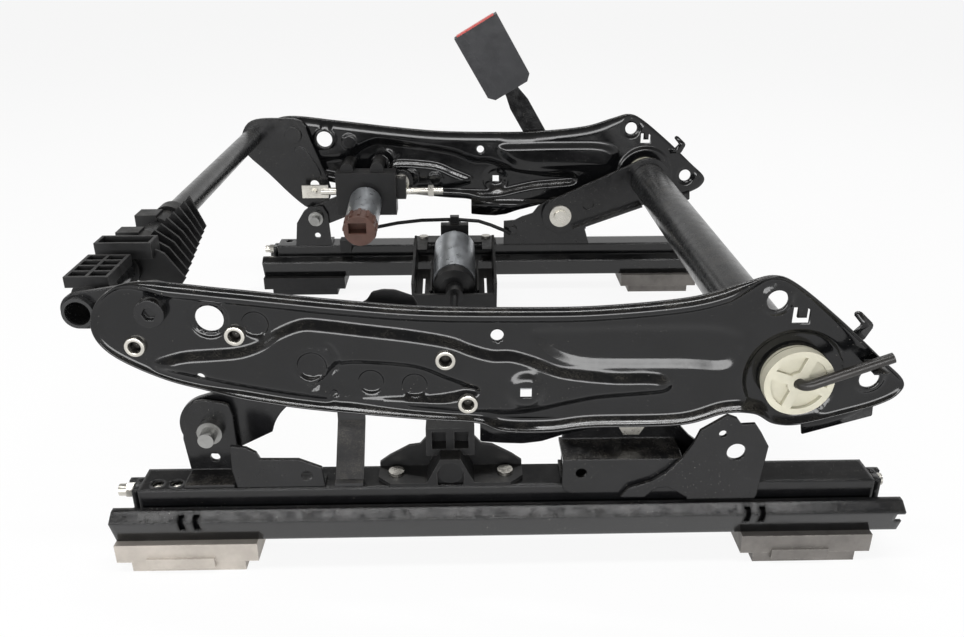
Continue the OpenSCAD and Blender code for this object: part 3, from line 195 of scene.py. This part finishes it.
CAST_BLACK = finish("cast_black", (0.007, 0.007, 0.0075), (0.4, 0.6), grain=(1300, 0.3, 0.0004), dust=0.2, wear=0.1,
                    specular=0.25)
PLATED = finish("plated_steel", (0.60, 0.58, 0.53), (0.22, 0.4), metal=1.0, vary=0.12, grain=(800, 0.1, 0.0001))
CAN = finish("motor_can", (0.46, 0.48, 0.50), (0.26, 0.42), metal=0.9, vary=0.1, grain=(600, 0.06, 0.0001))
TUBE = finish("tube_steel", (0.014, 0.0144, 0.015), (0.2, 0.32), vary=0.2, grain=(900, 0.08, 0.0001), dust=0.3,
              specular=0.6)
SPRING = finish("spring_steel", (0.013, 0.0115, 0.010), (0.3, 0.45), grain=(900, 0.1, 0.0001), wear=0.2)
PLASTIC = finish("black_plastic", (0.007, 0.007, 0.0073), (0.36, 0.52), grain=(2600, 0.25, 0.0002), dust=0.25, wear=0.1,
                 specular=0.3)
SLEEVE = finish("cable_sleeve", (0.008, 0.008, 0.008), (0.45, 0.6), grain=(2000, 0.2, 0.0002), specular=0.3)
IVORY = finish("ivory_plastic", (0.50, 0.48, 0.385), (0.35, 0.5), vary=0.08, grain=(1500, 0.1, 0.0002), dust=0.3,
               dust_color=(0.3, 0.26, 0.18))
BROWN = finish("brown_plastic", (0.10, 0.047, 0.034), (0.4, 0.55), vary=0.2, grain=(1600, 0.15, 0.0002), dust=0.3)
RED = finish("red_plastic", (0.50, 0.045, 0.035), (0.3, 0.45), vary=0.1, grain=(2200, 0.15, 0.0001))
BUCKLE = finish("buckle_plastic", (0.016, 0.0165, 0.019), (0.42, 0.55), vary=0.15, grain=(3000, 0.35, 0.0002),
                wear=0.15, specular=0.35)
# Dark thread colour is painted shade: it stands for the shade inside the insert nuts' bores
THREAD_SHADE = finish("thread_painted_shade", (0.05, 0.048, 0.044), (0.25, 0.4), metal=1.0, vary=0.3, grain=(900, 0.1, 0.0001))
POST = finish("post_plastic", (0.014, 0.014, 0.015), (0.4, 0.55), vary=0.2, grain=(2200, 0.2, 0.0002), dust=0.8,
              speck=0.5)
GEAR = finish("gear_steel", (0.30, 0.30, 0.29), (0.3, 0.45), metal=1.0, vary=0.2, grain=(900, 0.1, 0.0001), dust=0.3)

SURFACE = {
    RAIL: "lower_rail_left lower_rail_right upper_rail_left upper_rail_right screw_brackets",
    CAST_LIGHT: "foot_front_left",
    CAST_GREY: "foot_rear_left foot_rear_right lift_gearbox",
    CAST_BLACK: "foot_front_right slide_gearbox_left slide_gearbox_right",
    PLATED: "lead_screw_left lead_screw_right saddle_rivets rear_pivot_bolts frame_screws"
            " tilt_spindle rail_balls link_pins",
    PLASTIC: "gearbox_saddle_left gearbox_saddle_right slide_motor_cap motor_tray tilt_gearbox ribbed_bracket",
    CAN: "slide_motor tilt_motor lift_motor",
    SLEEVE: "drive_cable harness_cable",
    BRACKET: "front_bracket_left front_bracket_right front_stay_left rear_bracket_left rear_bracket_right"
             " belt_anchor_plate harness_post rear_link_left rear_link_right front_link_left front_link_right"
             " tilt_arm_left tilt_arm_right tilt_pivot_bolts buckle_stalk",
    TUBE: "rear_tube front_tube",
    SPRING: "torsion_bar",
    IVORY: "tube_cap rear_bushes ball_cages",
    BROWN: "tilt_motor_cap",
    RED: "buckle_button",
    BUCKLE: "buckle_body",
    GEAR: "lift_pinion front_pivot_pins",
    ECOAT: "side_member_left side_member_right",
}
for material, names in SURFACE.items():
    for name in names.split():
        nodes[name].data.materials.clear()
        nodes[name].data.materials.append(material)

# Small rounds on the edges of the carried-over solids, in millimetres
EDGE = {
    0.7: "lower_rail_left lower_rail_right upper_rail_left upper_rail_right rear_link_left rear_link_right",
    2.6: "foot_front_left foot_rear_left foot_front_right foot_rear_right",
    2.2: "buckle_body",
    0.9: "tilt_gearbox motor_tray slide_gearbox_left slide_gearbox_right lift_gearbox buckle_button tube_cap",
    0.5: "gearbox_saddle_left gearbox_saddle_right front_bracket_left front_bracket_right front_stay_left"
         " rear_bracket_left rear_bracket_right belt_anchor_plate harness_post ribbed_bracket tilt_motor_cap"
         " tilt_arm_left tilt_arm_right front_link_left front_link_right buckle_stalk tilt_spindle",
    0.6: "slide_motor slide_motor_cap tilt_motor lift_motor frame_screws saddle_rivets rear_pivot_bolts"
         " front_pivot_pins tilt_pivot_bolts",
}
for width, names in EDGE.items():
    for name in names.split():
        bevel = nodes[name].modifiers.new("edge", "BEVEL")
        bevel.width = width * MM
        bevel.segments = 2
        bevel.limit_method = "ANGLE"
        bevel.angle_limit = math.radians(40)
        bevel.harden_normals = False
for part in nodes.values():
    for face in part.data.polygons:
        face.use_smooth = True
    smooth = part.modifiers.new("normals", "WEIGHTED_NORMAL")
    smooth.keep_sharp = True


# Outline of a side member, as in the part, and its pressed forms, in the X-Z plane and in millimetres
MEMBER = [(-240, 168), (-231, 187), (-208, 196), (-157, 191), (-99, 184), (-47, 179), (10, 177.5), (59, 178),
          (112, 183), (143, 192), (160, 196), (175, 190), (204, 167), (233, 141), (249, 126), (247, 116), (236, 109),
          (218, 103), (189, 95.5), (172, 96.5), (158, 105), (140, 106), (112, 98), (57, 97), (31, 94), (2, 95),
          (-14, 101.5), (-43, 104), (-94, 109.7), (-131, 115), (-178, 125), (-206, 134.5), (-232, 150.5)]
PANEL = [(-206, 142), (-190, 147.5), (-172, 149), (-155, 150.5), (-142, 155), (-131, 162.5), (-117, 168),
         (-105, 167.5), (-80, 164), (-52, 160), (-30, 155.5), (-18, 150.5), (-5, 146.5), (7, 146), (21, 141.5),
         (38, 134.5), (67, 130.5), (90, 130), (100, 128.5), (104, 124.5), (100, 121), (85, 119.5), (60, 117.5),
         (42, 114), (15, 108.5), (-20, 109), (-43, 111.5), (-94, 117.5), (-131, 123), (-178, 133.5), (-200, 139.5)]
RECESS = [(-107, 128), (-102, 139), (-90, 143), (-60, 141), (-46, 138), (-33, 132), (-21, 127), (-14, 123.5),
          (-21, 121), (-32, 118.5), (-46, 117), (-68, 116.5), (-91, 116.8), (-102, 120.5)]
DISH = [(20, 161), (49, 163), (99, 163.5), (130, 162.5), (147, 156), (146, 146), (138, 136), (112, 137), (80, 137.5),
        (50, 139), (30, 147)]
GROOVE = [(-109, 159), (-101, 154.5), (-97.3, 147.8), (-97.8, 140), (-109.8, 129.8), (-121, 120.5)]
HOOK = [(208, 152), (220.4, 153), (224.6, 161.5), (224, 164), (215.5, 171.8), (212.5, 172), (211.4, 169.7),
        (217.2, 163.2), (212.1, 157.8), (204, 160)]
REAR_TAB = [(190, 98), (192, 87), (235, 100), (234, 111)]
STRIP = [(-12, 104), (-12, 85), (2, 83.6), (15, 83), (27, 84.5), (40, 89), (60, 94), (79, 98.5), (79, 102)]
BAR_LUG = [(221, 138.5), (221, 140.4), (231, 140.4), (231, 138.5)]
WEB, SHEET, PANEL_RISE = 241.0, 2.0, 4.6
# Mesh fineness: lattice pitch, room kept at borders, outline step, half width of a disc's edge
GRID, CLEAR, OUTLINE_STEP, DISC_EDGE = 1.7, 0.9, 2.2, 0.8
TUBE_AT, CAP_RING = (181, 129), 30.5
DOME = (15.7, 124)
FRONT_HOLE = (-171.2, 171.2)
BACKREST_HOLES = ((163.4, 180.5), (227.4, 127.6))
PANEL_FACE = 245
# Insert nuts of the left member with the face they sit on, and screws of the right member
NUTS = (((-32.7, 145.5), PANEL_FACE), ((-19.5, 115.5), PANEL_FACE), ((-216.3, 154.7), WEB), ((-156.8, 161.2), WEB))
SCREWS = ((-145, 145), (-113, 146))
# Pressed discs: middle, radius, rise
DISCS = [((-144.8, 167.6), 8.0, -1.5), ((-112.6, 142.0), 8.6, -1.7), ((-78.4, 128.5), 7.7, -1.5),
         ((-52.0, 125.7), 7.7, -1.5), ((-101.5, 120.6), 2.6, -1.2), (FRONT_HOLE, 11.6, -1.2)]
POST_HEAD = [(-104, 150), (-104, 160), (-90, 166), (-81.4, 170.8), (-78, 176.1), (-71.2, 177.7), (-63.8, 177.3),
             (-52.8, 173.1), (-49.9, 167), (-53, 160), (-70, 154)]
# Edge sections from the web round the rim to the back, as inset and height: rolled top, turned bottom, low lip
ROLL = [(11, 0), (9.8, 0.4), (9.0, 1.6), (8.5, 3.2), (7.7, 4.8), (6.4, 5.8), (4.9, 6.2), (3.4, 5.9), (2.0, 4.9),
        (0.9, 3.3), (0.2, 1.7), (0.0, 0.3), (1.2, -1.6), (11, -2)]
TURNED = [(8, 0), (6.6, 0.25), (5.4, 0.8), (4.4, 1.6), (3.5, 2.7), (2.7, 4.0), (2.0, 5.2), (1.3, 5.9), (0.6, 5.8),
          (0.1, 5.0), (0.0, 3.4), (0.1, 1.0), (1.2, -1.4), (8, -2)]
LIP = [(7.5, 0), (5, 0.1), (3.6, 0.4), (2.6, 0.9), (1.9, 1.5), (1.4, 2.0), (0.9, 2.3), (0.5, 2.2), (0.2, 1.9),
       (0.05, 1.4), (0.0, 0.7), (0.1, -0.4), (0.9, -1.5), (7.5, -2)]


def smooth_loop(points, steps):
    """Closed curve through the points."""
    p = np.array(points, float)
    before, after, later = np.roll(p, 1, 0), np.roll(p, -1, 0), np.roll(p, -2, 0)
    rows = []
    for t in np.arange(steps) / steps:
        rows.append(0.5 * (2 * p + (after - before) * t + (2 * before - 5 * p + 4 * after - later) * t ** 2
                           + (3 * p - before - 3 * after + later) * t ** 3))
    return np.stack(rows, 1).reshape(-1, 2)


def drawn_in(loop, distance):
    """A clockwise loop moved to its inside."""
    run = np.roll(loop, -1, 0) - np.roll(loop, 1, 0)
    run /= np.linalg.norm(run, axis=1)[:, None]
    return loop + distance * np.stack([run[:, 1], -run[:, 0]], 1)


def even_loop(loop, step):
    """The loop with points about one step apart."""
    closed = np.vstack([loop, loop[:1]])
    length = np.concatenate([[0], np.cumsum(np.linalg.norm(np.diff(closed, axis=0), axis=1))])
    at = np.linspace(0, length[-1], max(8, int(length[-1] / step)), endpoint=False)
    return np.stack([np.interp(at, length, closed[:, i]) for i in (0, 1)], 1)


def inside(points, loop):
    a, b = loop, np.roll(loop, -1, 0)
    x, y = points[:, :1], points[:, 1:]
    crosses = (a[:, 1] > y) != (b[:, 1] > y)
    with np.errstate(divide="ignore", invalid="ignore"):
        at = (b[:, 0] - a[:, 0]) * (y - a[:, 1]) / (b[:, 1] - a[:, 1]) + a[:, 0]
    return (crosses & (x < at)).sum(1) % 2 == 1


def depth_in(points, loop, closed=True):
    """Distance to a line, positive inside a closed one."""
    a = loop if closed else loop[:-1]
    b = np.roll(loop, -1, 0) if closed else loop[1:]
    run = b - a
    rel = points[:, None] - a[None]
    t = np.clip((rel * run).sum(2) / (run ** 2).sum(1), 0, 1)
    gap = np.linalg.norm(rel - t[..., None] * run[None], axis=2).min(1)
    return np.where(inside(points, loop), gap, -gap) if closed else gap


def step(x, low, high):
    t = np.clip((x - low) / (high - low), 0, 1)
    return t * t * (3 - 2 * t)


def circle(at, radius, count):
    a = -np.arange(count) * 2 * math.pi / count
    return np.array(at, float) + radius * np.stack([np.cos(a), np.sin(a)], 1)


def relief(p):
    """Height of the pressed sheet over the web, at points of the X-Z plane."""
    panel = step(depth_in(p, smooth_loop(PANEL, 6)), -4.0, 4.0)
    recess = step(depth_in(p, smooth_loop(RECESS, 6)), -4.0, 3.0)
    height = PANEL_RISE * panel * (1 - recess)
    height -= 2.8 * step(depth_in(p, smooth_loop(DISH, 6)), -4, 6)
    groove = 1.6 * (1 - step(depth_in(p, np.array(GROOVE, float), False), 0.6, 3.0))
    for end in (GROOVE[0], GROOVE[-1]):
        groove *= step(np.linalg.norm(p - end, axis=1), 1, 11)
    height -= groove
    for at, radius, rise in DISCS:
        height += rise * (1 - step(np.linalg.norm(p - at, axis=1), radius - DISC_EDGE, radius + DISC_EDGE))
    ring = np.linalg.norm(p - DISCS[1][0], axis=1)
    height += 0.7 * step(ring, 8.6, 10) * (1 - step(ring, 10.8, 13))
    bulge = np.linalg.norm(p - DOME, axis=1)
    height += 3.4 * (1 - step(bulge, 6, 15))
    hub = np.linalg.norm(p - TUBE_AT, axis=1)
    height -= 2.0 * (1 - step(hub, CAP_RING - 1.2, CAP_RING + 1.2))
    for at in BACKREST_HOLES:
        height += 1.8 * (1 - step(np.linalg.norm(p - at, axis=1), 8.3, 11))
    return height


def add_plate(mesh, outline, side, y0, y1):
    """A flat plate of the X-Z plane with rounded edges, joined to the mesh."""
    made = bmesh.new()
    rows = [[made.verts.new((x * MM, side * y * MM, z * MM)) for x, z in outline] for y in (y0, y1)]
    made.faces.new(rows[0])
    made.faces.new(rows[1][::-1])
    for i in range(len(outline)):
        k = (i + 1) % len(outline)
        made.faces.new((rows[0][k], rows[0][i], rows[1][i], rows[1][k]))
    bmesh.ops.recalc_face_normals(made, faces=made.faces)
    bmesh.ops.bevel(made, geom=list(made.edges), offset=0.6 * MM, segments=2, affect="EDGES", clamp_overlap=True)
    data = bpy.data.meshes.new("plate")
    made.to_mesh(data)
    made.free()
    mesh.from_mesh(data)
    bpy.data.meshes.remove(data)


def object_of(mesh, name, material):
    """The mesh as a smooth object of one material, in the scene."""
    bmesh.ops.recalc_face_normals(mesh, faces=mesh.faces)
    data = bpy.data.meshes.new(name)
    mesh.to_mesh(data)
    mesh.free()
    for face in data.polygons:
        face.use_smooth = True
    data.materials.append(material)
    made = bpy.data.objects.new(name, data)
    scene.collection.objects.link(made)
    return made


def edge_section(outline):
    """The section at every outline point, blended from the rolled top, the turned bottom and the low lip."""
    run = np.roll(outline, -1, 0) - np.roll(outline, 1, 0)
    up = step(run[:, 0] / np.linalg.norm(run, axis=1), -0.3, 0.3)
    x = outline[:, 0]
    roll = up * step(x, -222, -188) * (1 - step(x, 130, 156))
    turned = (1 - up) * step(x, -185, -150) * (1 - step(x, 150, 178))
    share = np.stack([roll, turned, 1 - roll - turned], 1)
    return np.einsum("ik,kpj->ipj", share, np.array([ROLL, TURNED, LIP], float))


def member_piece(name, side, holes):
    """One pressed side member: web with its relief, shaped rim all round and clean hole edges."""
    outline = even_loop(smooth_loop(MEMBER, 8), OUTLINE_STEP)
    section = edge_section(outline)
    border = drawn_in(outline, section[:, 0, :1])
    loops = [border] + holes
    xs = np.arange(-240, 252, GRID)
    zs = np.arange(88, 200, GRID * 0.866)
    lattice = np.array([(x + (GRID / 2 if j % 2 else 0), z) for j, z in enumerate(zs) for x in xs])
    keep = depth_in(lattice, border) > CLEAR
    for hole in holes:
        keep &= depth_in(lattice, hole) < -CLEAR
    rings = [circle(at, radius + off, int(5 * radius)) for at, radius, _ in DISCS for off in (-DISC_EDGE, 0, DISC_EDGE)]
    for at, radius, _ in DISCS:
        keep &= abs(np.linalg.norm(lattice - at, axis=1) - radius) > 2 * DISC_EDGE
    flat = np.vstack(loops + rings + [lattice[keep]])
    edges, start, spans = [], 0, []
    for loop in loops:
        spans.append((start, len(loop)))
        edges += [(start + i, start + (i + 1) % len(loop)) for i in range(len(loop))]
        start += len(loop)
    made = delaunay_2d_cdt([Vector(p) for p in flat.tolist()], edges, [], 0, 1e-4)
    points = np.array([tuple(v) for v in made[0]])
    place = {orig: new for new, origs in enumerate(made[3]) for orig in origs}
    faces = np.array(made[2])
    middle = points[faces].mean(1)
    good = depth_in(middle, border) > 0
    for hole in holes:
        good &= depth_in(middle, hole) < 0
    faces = faces[good]
    rise = relief(points)
    mesh = bmesh.new()

    def vertex(x, y, z):
        return mesh.verts.new((x * MM, side * y * MM, z * MM))

    front = [vertex(x, WEB + h, z) for (x, z), h in zip(points, rise)]
    back = [vertex(x, WEB + h - SHEET, z) for (x, z), h in zip(points, rise)]
    for a, b, c in faces:
        mesh.faces.new((front[a], front[b], front[c]))
        mesh.faces.new((back[c], back[b], back[a]))
    for first, count in spans[1:]:
        ring = [place[first + i] for i in range(count)]
        for a, b in zip(ring, ring[1:] + ring[:1]):
            mesh.faces.new((front[a], front[b], back[b], back[a]))
    ring = [place[i] for i in range(len(border))]
    last = [front[i] for i in ring]
    at_edge = relief(border)
    for row in range(1, section.shape[1] - 1):
        inset, y = section[:, row, :1], section[:, row, 1]
        fade = np.maximum(0.0, 1 - abs(section[:, 0, 0] - inset[:, 0]) / 5)
        line = drawn_in(outline, inset)
        now = [vertex(x, WEB + h, z) for (x, z), h in zip(line, y + fade * at_edge)]
        for i in range(len(now)):
            k = (i + 1) % len(now)
            mesh.faces.new((last[k], last[i], now[i], now[k]))
        last = now
    now = [back[i] for i in ring]
    for i in range(len(now)):
        k = (i + 1) % len(now)
        mesh.faces.new((last[k], last[i], now[i], now[k]))
    for plate in (HOOK, REAR_TAB, STRIP):
        add_plate(mesh, plate, side, WEB - SHEET, WEB)
    if side < 0:
        add_plate(mesh, BAR_LUG, side, WEB - 0.5, 259)
    loose = [v for v in mesh.verts if not v.link_faces]
    bmesh.ops.delete(mesh, geom=loose, context="VERTS")
    return object_of(mesh, name, ECOAT)


def square(at, width, height):
    x, z = at
    w, h = width / 2, height / 2
    return np.array([(x - w, z - h), (x - w, z + h), (x + w, z + h), (x + w, z - h)], float)


SHARED_HOLES = [circle(TUBE_AT, 20.5, 48), *(circle(p, 6.5, 28) for p in BACKREST_HOLES), circle(FRONT_HOLE, 8.5, 32),
                circle((-1.7, 159), 4, 20), circle((-179.3, 135.8), 2.5, 14), circle((199.1, 104.6), 2.2, 14),
                circle((-203.3, 177.5), 6, 24), square(DOME, 7, 7),
                np.array([(174.4, 164.5), (174.4, 175.2), (177.4, 175.2), (177.4, 168.4), (183, 168.4), (183, 175.2),
                          (185, 175.2), (185, 164.5)], float)]
LEFT_HOLES = [circle(p, 4, 20) for p, _ in NUTS]
RIGHT_HOLES = [circle(p, 3, 16) for p in SCREWS]
for label, sign, own in (("left", -1, LEFT_HOLES), ("right", 1, RIGHT_HOLES)):
    pressed = member_piece("pressed_member_" + label, sign, SHARED_HOLES + own)
    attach(pressed, "seat_frame")
    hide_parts("side_member_" + label)


def add_lathe(mesh, at, side, base, profile, count=32):
    """A closed ring turned about the Y direction, from radius and height over the base."""
    rows = []
    for radius, y in profile:
        rows.append([mesh.verts.new((x * MM, side * (base + y) * MM, z * MM)) for x, z in circle(at, radius, count)])
    for a, b in zip(rows, rows[1:] + rows[:1]):
        for i in range(count):
            k = (i + 1) % count
            mesh.faces.new((a[i], a[k], b[k], b[i]))


def add_strip(mesh, path, thick, x0, x1, side):
    """A bent strip along a path of the Y-Z plane."""
    line = np.array(path, float)
    run = np.gradient(line, axis=0)
    run /= np.linalg.norm(run, axis=1)[:, None]
    other = line + thick * np.stack([-run[:, 1], run[:, 0]], 1)
    rows = []
    for (y0, z0), (y1, z1) in zip(line, other):
        corners = ((x0, y0, z0), (x1, y0, z0), (x1, y1, z1), (x0, y1, z1))
        rows.append([mesh.verts.new((x * MM, side * y * MM, z * MM)) for x, y, z in corners])
    mesh.faces.new(rows[0])
    mesh.faces.new(rows[-1])
    for a, b in zip(rows, rows[1:]):
        for i in range(4):
            k = (i + 1) % 4
            mesh.faces.new((a[i], a[k], b[k], b[i]))


def small_piece(mesh, name, material, body, node=None):
    """A piece with crisp edges, riding on a body and standing for a node if one is named."""
    piece = object_of(mesh, name, material)
    hard = piece.modifiers.new("hard_edges", "EDGE_SPLIT")
    hard.split_angle = math.radians(40)
    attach(piece, body)
    if node:
        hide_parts(node)


# Turned sections as radius and height over the face
COLLAR = [(3.7, -2.0), (3.7, 2.4), (4.0, 2.8), (5.0, 3.0), (5.9, 2.7), (6.3, 2.0), (6.3, -0.6), (5.0, -2.0)]
THREADS = [(0.3, -1.5), (2.6, -1.5), (3.1, -0.9), (2.8, -0.3), (3.2, 0.3), (2.9, 0.9), (3.4, 1.5), (3.68, 1.7),
           (3.68, -2.2), (0.3, -2.2)]
SCREW = [(0.3, 1.0), (1.6, 1.0), (2.2, 1.9), (4.4, 2.0), (5.0, 1.4), (5.0, -0.6), (0.3, -0.6)]
# The dark threaded cups with a closed floor inside the nuts are painted shade of the nut bores
collars, threads = bmesh.new(), bmesh.new()
for at, base in NUTS:
    add_lathe(collars, at, -1, base, COLLAR)
    add_lathe(threads, at, -1, base, THREADS)
for at in SCREWS:
    add_lathe(collars, at, 1, PANEL_FACE, SCREW)
small_piece(collars, "insert_nuts", PLATED, "seat_frame", "frame_screws")
small_piece(threads, "nut_threads", THREAD_SHADE, "seat_frame")

# Lead post: a bent strip on the near rail with a small rounded head behind the member
POST_PATH = [(244.5, 55), (237.5, 55), (224, 70), (210.5, 85), (210.5, 120), (210.5, 158)]
POST_SHEET, POST_SPAN = 2.5, (-105, -87)
post = bmesh.new()
add_strip(post, POST_PATH, -POST_SHEET, *POST_SPAN, -1)
add_plate(post, POST_HEAD, -1, 210.6, 212.9)
small_piece(post, "lead_post", POST, "slider", "harness_post")


def make_stage():
    """Pale floor, soft light and a white surround that darkens upwards."""
    bpy.ops.mesh.primitive_plane_add(size=30, location=(0, 0, 0))
    floor = bpy.context.object
    floor.name = "floor"
    n = Nodes("floor_white")
    tree = n.tree
    n.shader.inputs["Base Color"].default_value = (0.88, 0.88, 0.88, 1)
    n.shader.inputs["Roughness"].default_value = 0.9
    glow = tree.nodes.new("ShaderNodeEmission")
    glow.inputs["Strength"].default_value = 1.0
    path = tree.nodes.new("ShaderNodeLightPath")
    seen = n.math("ADD", path.outputs["Is Camera Ray"], n.math("ADD", path.outputs["Is Glossy Ray"],
                                                              path.outputs["Is Transmission Ray"]))
    share = n.math("MULTIPLY", seen, 0.9)
    mix = tree.nodes.new("ShaderNodeMixShader")
    n.link(share, mix.inputs["Fac"])
    n.link(n.shader.outputs[0], mix.inputs[1])
    n.link(glow.outputs[0], mix.inputs[2])
    n.link(mix.outputs[0], tree.nodes["Material Output"].inputs["Surface"])
    floor.data.materials.append(n.material)

    world = bpy.data.worlds.new("studio")
    scene.world = world
    world.use_nodes = True
    tree = world.node_tree
    back = tree.nodes["Background"]
    back.inputs["Color"].default_value = (1, 1, 1, 1)
    path = tree.nodes.new("ShaderNodeLightPath")
    shown = None
    for ray in ("Is Camera Ray", "Is Glossy Ray", "Is Transmission Ray"):
        largest = tree.nodes.new("ShaderNodeMath")
        largest.operation = "MAXIMUM"
        tree.links.new(path.outputs[ray], largest.inputs[0])
        if shown:
            tree.links.new(shown, largest.inputs[1])
        shown = largest.outputs[0]
    level = tree.nodes.new("ShaderNodeMapRange")
    level.inputs["To Min"].default_value = 0.25
    level.inputs["To Max"].default_value = 1.0
    tree.links.new(shown, level.inputs["Value"])
    split = tree.nodes.new("ShaderNodeSeparateXYZ")
    tree.links.new(tree.nodes.new("ShaderNodeTexCoord").outputs["Generated"], split.inputs[0])
    height = tree.nodes.new("ShaderNodeMapRange")
    height.interpolation_type = "SMOOTHSTEP"
    for name, number in (("From Min", 0.15), ("From Max", 0.6), ("To Min", 1.0), ("To Max", 0.2)):
        height.inputs[name].default_value = number
    tree.links.new(split.outputs["Z"], height.inputs["Value"])
    faded = tree.nodes.new("ShaderNodeMath")
    faded.operation = "MULTIPLY"
    tree.links.new(level.outputs[0], faded.inputs[0])
    tree.links.new(height.outputs[0], faded.inputs[1])
    strength = tree.nodes.new("ShaderNodeMath")
    strength.operation = "MAXIMUM"
    tree.links.new(faded.outputs[0], strength.inputs[0])
    tree.links.new(path.outputs["Is Camera Ray"], strength.inputs[1])
    tree.links.new(strength.outputs[0], back.inputs["Strength"])

    def lamp(name, at, target, size, power):
        data = bpy.data.lights.new(name, "AREA")
        data.shape = "RECTANGLE"
        data.size, data.size_y = size
        data.energy = power
        obj = bpy.data.objects.new(name, data)
        obj.location = at
        obj.rotation_euler = (Vector(target) - Vector(at)).to_track_quat("-Z", "Y").to_euler()
        scene.collection.objects.link(obj)

    lamp("front_low", (-0.2, -1.7, 0.45), (0, -0.1, 0.15), (1.8, 0.42), 22)
    lamp("overhead", (0, -0.45, 1.65), (0, -0.1, 0.1), (1.8, 0.14), 16)
    lamp("rear", (0.2, 0.9, 1.6), (0, 0, 0.1), (1.6, 0.12), 11)
    lamp("side", (-1.5, -0.4, 0.8), (0, 0, 0.15), (0.8, 0.12), 4)


make_stage()
scene.view_settings.view_transform = "Standard"
bpy.context.view_layer.update()
